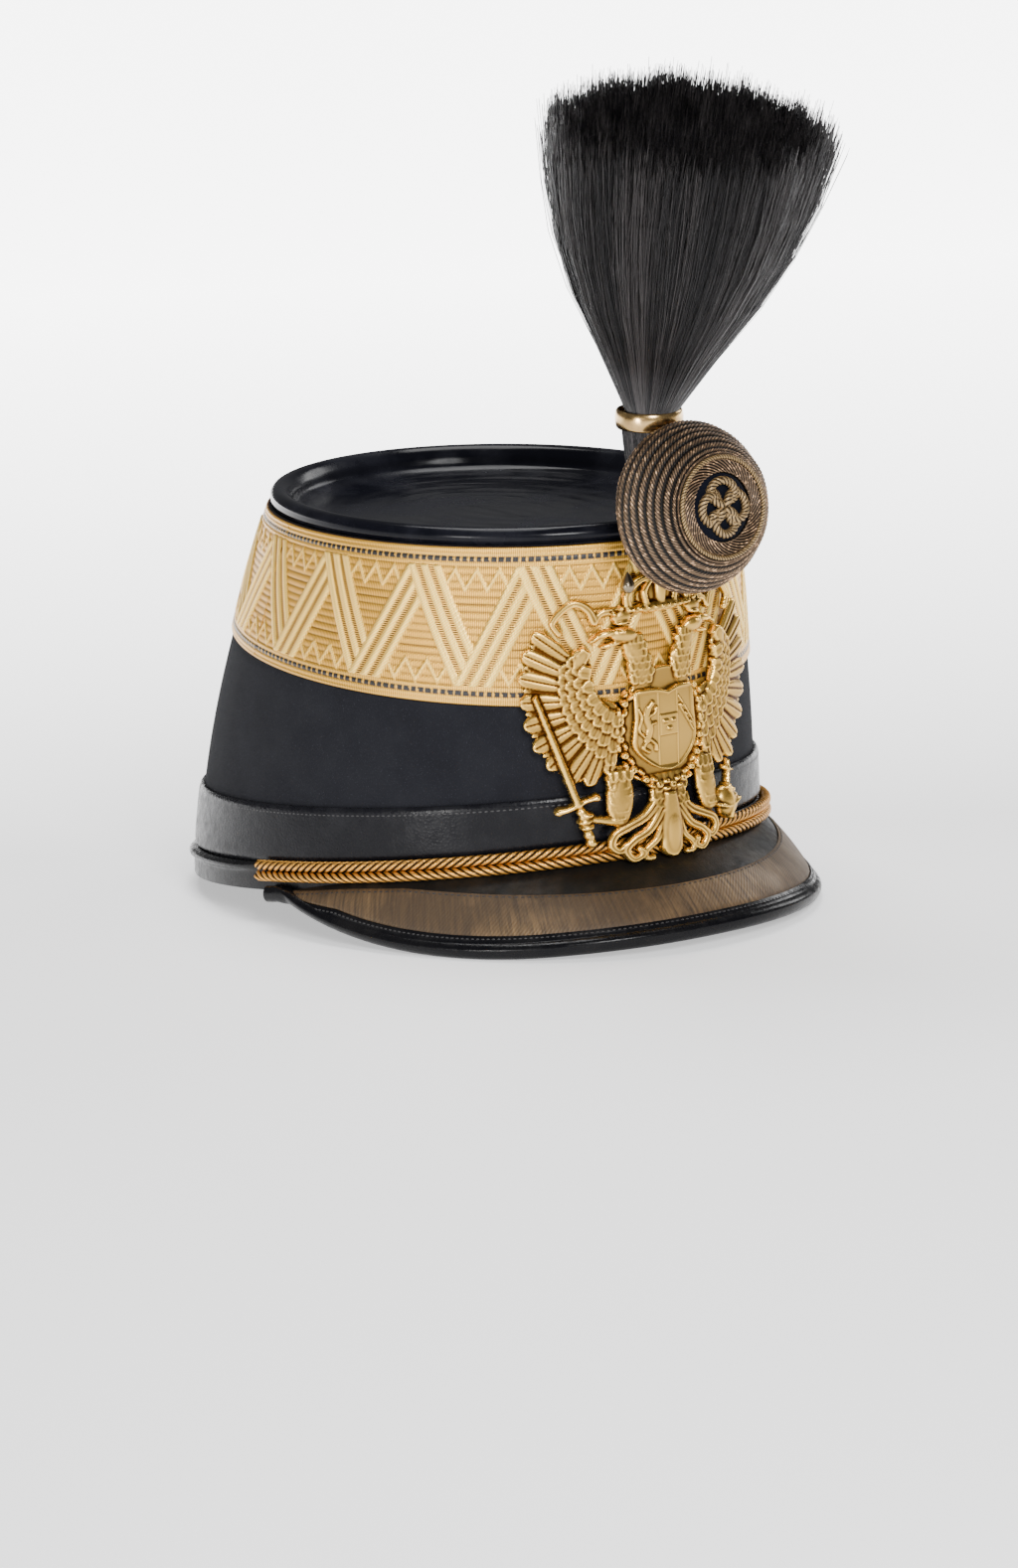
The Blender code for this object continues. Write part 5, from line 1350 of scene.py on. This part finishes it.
arch = np.linspace(-1, 1, 21)[:, None]
angle = turns(128)[None, :]
ferrule_out = FERRULE_RADIUS * (0.93 + 0.07 * np.sqrt(np.maximum(1 - arch ** 2, 0))) + 0 * angle
ring_out = round_points(angle, ferrule_out, arch * FERRULE_LENGTH / 2)
ring_in = round_points(angle, FERRULE_RADIUS - FERRULE_WALL + 0 * angle + 0 * arch[:2],
                       arch[[-1, 0]] * FERRULE_LENGTH / 2)
make_piece("ferrule_ring", leaning(FERRULE_TILT, np.concatenate([ring_out, ring_in])), brass.material,
           ["plume_ferrule"], wrap_rows=True, sharp=50)

KNOB_RADIUS, KNOB_LENGTH = 2.4 * MM, 7.6 * MM
KNOB_SIDE, KNOB_HEIGHT = -14.3 * MM, 98.5 * MM
knob_angle = np.array(KNOB_SIDE / oval(KNOB_HEIGHT / CROWN_HEIGHT)[0])
knob_seat = GAP * 2 + TRIM + KNOB_RADIUS
foot = wall(knob_angle, share_at(knob_angle, KNOB_HEIGHT - KNOB_LENGTH / 2), knob_seat)
head = wall(knob_angle, share_at(knob_angle, KNOB_HEIGHT + KNOB_LENGTH / 2), knob_seat)
rise = Vector((0, 0, 1)).rotation_difference(Vector(head - foot)).to_matrix()
drop = smooth_line([(0.1, 0.0), (0.62, 0.07), (1.0, 0.3), (0.92, 0.5), (0.6, 0.72), (0.3, 0.9),
                    (0.06, 1.0)], 36)
angle = turns(40)[None, :]
knob = round_points(angle, drop[:, :1] * KNOB_RADIUS + 0 * angle, drop[:, 1:] * KNOB_LENGTH)
make_piece("teardrop_knob", knob @ np.array(rise).T + foot, dull_metal.material, ["loop_knob"])

# %% [markdown]
# Horsehair is thousands of single hairs. Each is a thin three-sided spike along a path: at a
# share of the plume's length it lies at its own share of the plume's radius, so the hairs
# spread as one, and a little sway and a few strays make the ends ragged. A dark core behind
# them is painted shade: it stands for the shaded hair inside and keeps light from showing
# through the middle.

# %% Hair as a function
PLUME_PROFILE = np.array([
    (0.0, 0.165), (0.035, 0.175), (0.08, 0.225), (0.13, 0.295), (0.2, 0.385), (0.3, 0.52),
    (0.42, 0.67), (0.55, 0.81), (0.7, 0.93), (0.84, 1.0), (0.93, 1.03), (1.05, 1.06)])
THIN_SIDE, TUFTS = math.radians(-125.7), 260


def strands(paths, radii, sides=3):
    """Three-sided spikes round many paths at once: paths are hairs by rows by xyz."""
    ahead = unit(np.gradient(paths, axis=1))
    level_side = unit(np.cross(ahead, np.array([0.31, 0.9, 0.2])))
    other = np.cross(ahead, level_side)
    turn = turns(sides)
    ring = (np.cos(turn)[None, None, :, None] * level_side[:, :, None]
            + np.sin(turn)[None, None, :, None] * other[:, :, None])
    return paths[:, :, None] + ring * radii[:, :, None, None]


def hair_piece(name, paths, radii, hair_tone_and_glint, nodes):
    """One mesh of closed spikes, each with its own paleness: partly the hair's own grey and partly painted
    highlight.
    """
    count, rows = paths.shape[:2]
    points = strands(paths, radii).reshape(count, rows * 3, 3)
    row, column = grid_corners(rows, 3, False, True)
    quads = row * 3 + column % 3
    triangles = np.array([[0, 1, 2], [rows * 3 - 1, rows * 3 - 2, rows * 3 - 3]])
    mesh = fill_copies(name, points, quads, triangles, {"hair_tone_and_glint": np.repeat(hair_tone_and_glint, rows * 3)}, 180)
    return place_piece(name, mesh, horsehair.material, nodes)


def plume_paths(count, rows, inner, spread_out):
    """Hairs over a disc; towards the tips each is drawn to the middle of the tuft nearest to it."""
    polar = dice.uniform(0, 2 * math.pi, count)
    share = np.sqrt(dice.uniform(inner ** 2, 1, count))
    spot = np.stack([share * np.sin(polar), -share * np.cos(polar)], -1)
    own = np.argmin(((spot[:, None] - spot[None, :TUFTS]) ** 2).sum(-1), 1)
    bend, extra = dice.normal(0, 1.5 * MM, (TUFTS, 2))[own], dice.normal(0, 0.016, TUFTS)[own]
    thin, share = np.maximum(np.cos(polar - THIN_SIDE), 0)[:, None], share[:, None]
    reach = 1.0 + dice.normal(0, 0.022, (count, 1)) + extra[:, None]
    reach = reach - 0.035 * share ** 2 - 0.03 * thin * share
    t = np.append(np.linspace(0.0, 0.975, rows - 1) ** 0.9, 1.0)[None, :]
    along = 0.012 + t * (reach - 0.012)
    width = PLUME_RADIUS * np.interp(along, PLUME_PROFILE[:, 0], PLUME_PROFILE[:, 1])
    width = width * (1 - 0.09 * thin * smooth_step(0.3, 1.0, t))
    pull, t = (0.62 * smooth_step(0.15, 1.0, t))[..., None], t[..., None]
    across = (spot[:, None] * (1 - pull) + spot[own][:, None] * pull) * width[..., None]
    sway = dice.normal(0, spread_out, (count, 1, 2)) * MM * t ** 1.5
    wave = dice.normal(0, 0.6, (count, 1, 2)) * MM * t
    wave = wave * np.sin(2.4 * math.pi * t + dice.uniform(0, 6, (count, 1, 2)))
    across = across + bend[:, None] * t ** 2 + sway + wave
    shade = (0.65 * dice.uniform(0, 1, TUFTS)[own] + 0.35 * dice.uniform(0, 1, count)) ** 2.2
    return leaning(PLUME_LEAN, np.concatenate([across, along[..., None] * PLUME_LENGTH], -1)), shade


def taper(count, rows, radius):
    """A hair's radius: full at the root and over half of that at the tip."""
    return radius * np.linspace(1, 0.55, rows)[None, :] * dice.uniform(0.8, 1.15, (count, 1))


# %% Plume
HAIRS, HAIR_ROWS, HAIR_RADIUS = 4300, 7, 0.16 * MM
for number, (inner, spread_out) in enumerate(((0.0, 1.2), (0.35, 1.6), (0.7, 1.6), (0.88, 2.4))):
    paths, hair_tone_and_glint = plume_paths(HAIRS, HAIR_ROWS, inner, spread_out)
    radii = taper(HAIRS, HAIR_ROWS, HAIR_RADIUS)
    hair_piece(f"plume_hairs_{number}", paths, radii, hair_tone_and_glint, ["plume_hair"])
# Painted shade: a dark velvet core where the inner hair lies in shade.
core_line = smooth_line([(0.15, -0.03), (0.155, 0.03), (0.23, 0.12), (0.45, 0.3), (0.64, 0.52),
                         (0.78, 0.72), (0.74, 0.86), (0.3, 0.9)], 60)
angle = turns(96)[None, :]
shag = 1 + 0.03 * np.sin(23 * angle) + 0.02 * np.sin(41 * angle + 1)
core = round_points(angle, core_line[:, :1] * PLUME_RADIUS * shag, core_line[:, 1:] * PLUME_LENGTH)
make_piece("plume_shade_core", leaning(PLUME_LEAN, core), velvet.material, ["plume_hair"])

# %% Stem
neck = np.array([[0, -FERRULE_FORWARD, FERRULE_HEIGHT],
                 [0, -FERRULE_FORWARD - 0.2 * MM, FERRULE_HEIGHT - 6 * MM],
                 [0, -FERRULE_FORWARD - 0.4 * MM, 140 * MM], [0, -FERRULE_FORWARD - 0.6 * MM, 131 * MM],
                 [0, -SOCKET_FORWARD + 2 * MM, SOCKET_TOP + 0.5 * MM],
                 [0, -SOCKET_FORWARD, SOCKET_FOOT + 4 * MM]])
spine = smooth_line(neck, 60)
girth = np.interp(np.linspace(0, 1, 60), [0, 0.2, 0.4, 0.6, 0.72, 0.85, 1.0],
                  [9.6, 9.9, 9.9, 9.4, 7.6, 4.3, 4.2]) * MM
angle = turns(72)[None, :]
lump = 1 + 0.025 * np.sin(17 * angle) + 0.015 * np.sin(29 * angle + 2)
core_girth = girth[:, None] * lump
stem_core = np.stack([core_girth * np.sin(angle) * 0.93, spine[:, 1:2] - core_girth * np.cos(angle) * 0.93,
                      spine[:, 2:3] + 0 * angle], -1)
make_piece("stem_core", stem_core, horsehair.material, ["plume_stem"],
           marks={"hair_tone_and_glint": 0 * stem_core[..., 0]})
STEM_HAIRS, STEM_ROWS = 1500, 9
polar = dice.uniform(0, 2 * math.pi, STEM_HAIRS)[:, None]
share = dice.uniform(0.93, 1.0, STEM_HAIRS)[:, None]
step = np.linspace(0, 59, STEM_ROWS).astype(int)
twist = polar + dice.normal(0, 0.06, (STEM_HAIRS, STEM_ROWS))
reach = girth[step][None] * share
stem_paths = np.stack([reach * np.sin(twist), spine[step, 1][None] - reach * np.cos(twist),
                       spine[step, 2][None] + 0 * twist], -1)
radii = taper(STEM_HAIRS, STEM_ROWS, HAIR_RADIUS)
hair_tone_and_glint = dice.uniform(0, 1, STEM_HAIRS) ** 3
hair_piece("stem_hairs", stem_paths, radii, hair_tone_and_glint, ["plume_stem"])

# %% [markdown]
# The set is a pale floor that runs far behind the hat and glows more the further it goes, so
# the background turns white. Soft lights stand in for a studio: a large one overhead, a key
# low on the left and a weak fill.

# %% Floor and lights
floor_line = smooth_line([(-3.0, 0.0), (1.0, 0.0), (8.0, 0.0)], 60)
heading = math.radians(35.57)
side = np.linspace(-6, 6, 9)[None, :]
back = floor_line[:, :1] + 0 * side
floor_points = np.stack([side * math.cos(heading) + back * math.sin(heading),
                         back * math.cos(heading) - side * math.sin(heading),
                         floor_line[:, 1:] + 0 * side], -1)
row, column = grid_corners(60, 9, False, False)
floor_mesh = fill_mesh("studio_floor", floor_points.reshape(-1, 3), (row * 9 + column)[:, ::-1],
                       np.zeros((0, 3), int))
floor = bpy.data.objects.new("studio_floor", floor_mesh)
bpy.context.scene.collection.objects.link(floor)
paper = Finish("studio_paper", (0.86, 0.86, 0.87), 0.8)
paper.put("Base Color", paper.mix(paper.noise(3, detail=2), (0.85, 0.85, 0.86), (0.88, 0.88, 0.885)))
behind = paper.add("ShaderNodeSeparateXYZ", {"Vector": paper.place(turn=(0, 0, heading))}).outputs["Y"]
paper.put("Emission Color", (1.0, 1.0, 1.0))
paper.put("Emission Strength", paper.remap(behind, 0.1, 1.6, 0.65, 6.5))
floor_mesh.materials.append(paper.material)


def soft_light(name, place, size, power, colour=(1, 1, 1)):
    """A square area light that looks at the hat."""
    lamp = bpy.data.lights.new(name, "AREA")
    lamp.size, lamp.energy, lamp.color = size, power, colour
    light = bpy.data.objects.new(name, lamp)
    light.location = place
    light.rotation_euler = (Vector((0, -0.02, 0.12)) - Vector(place)).to_track_quat("-Z", "Y").to_euler()
    bpy.context.scene.collection.objects.link(light)


soft_light("overhead", (0.1, 0.3, 1.7), 1.0, 34)
soft_light("key", (-1.62, -0.51, 0.14), 0.26, 13, (1.0, 0.985, 0.96))
soft_light("front", (-0.7, -1.7, 1.0), 0.6, 40)
soft_light("right_rim", (1.5, 0.2, 0.8), 0.6, 8)
world = bpy.data.worlds.new("studio")
world.use_nodes = True
world.node_tree.nodes["Background"].inputs["Color"].default_value = (1, 1, 1, 1)
world.node_tree.nodes["Background"].inputs["Strength"].default_value = 0.16
bpy.context.scene.world = world

# %% [markdown]
# The camera was found by fitting the hat's own rings to their outlines in the photograph. It
# stands 2.5 m away with a long lens, a little above the hat and rolled by under three degrees.

# %% Camera
CAMERA_PLACE = Vector((-1.41746, -1.96970, 0.55508))
CAMERA_TARGET_WAY = Vector((0.56897, 0.79575, -0.20750))
CAMERA_ROLL = math.radians(-2.695)
lens = bpy.data.cameras.new("portrait")
lens.sensor_width = 36
lens.lens = 7069.4 / 1578 * 36
camera = bpy.data.objects.new("portrait", lens)
camera.location = CAMERA_PLACE
look = CAMERA_TARGET_WAY.to_track_quat("-Z", "Y").to_matrix()
camera.rotation_euler = (look @ Matrix.Rotation(CAMERA_ROLL, 3, "Z")).to_euler()
bpy.context.scene.collection.objects.link(camera)
bpy.context.scene.camera = camera
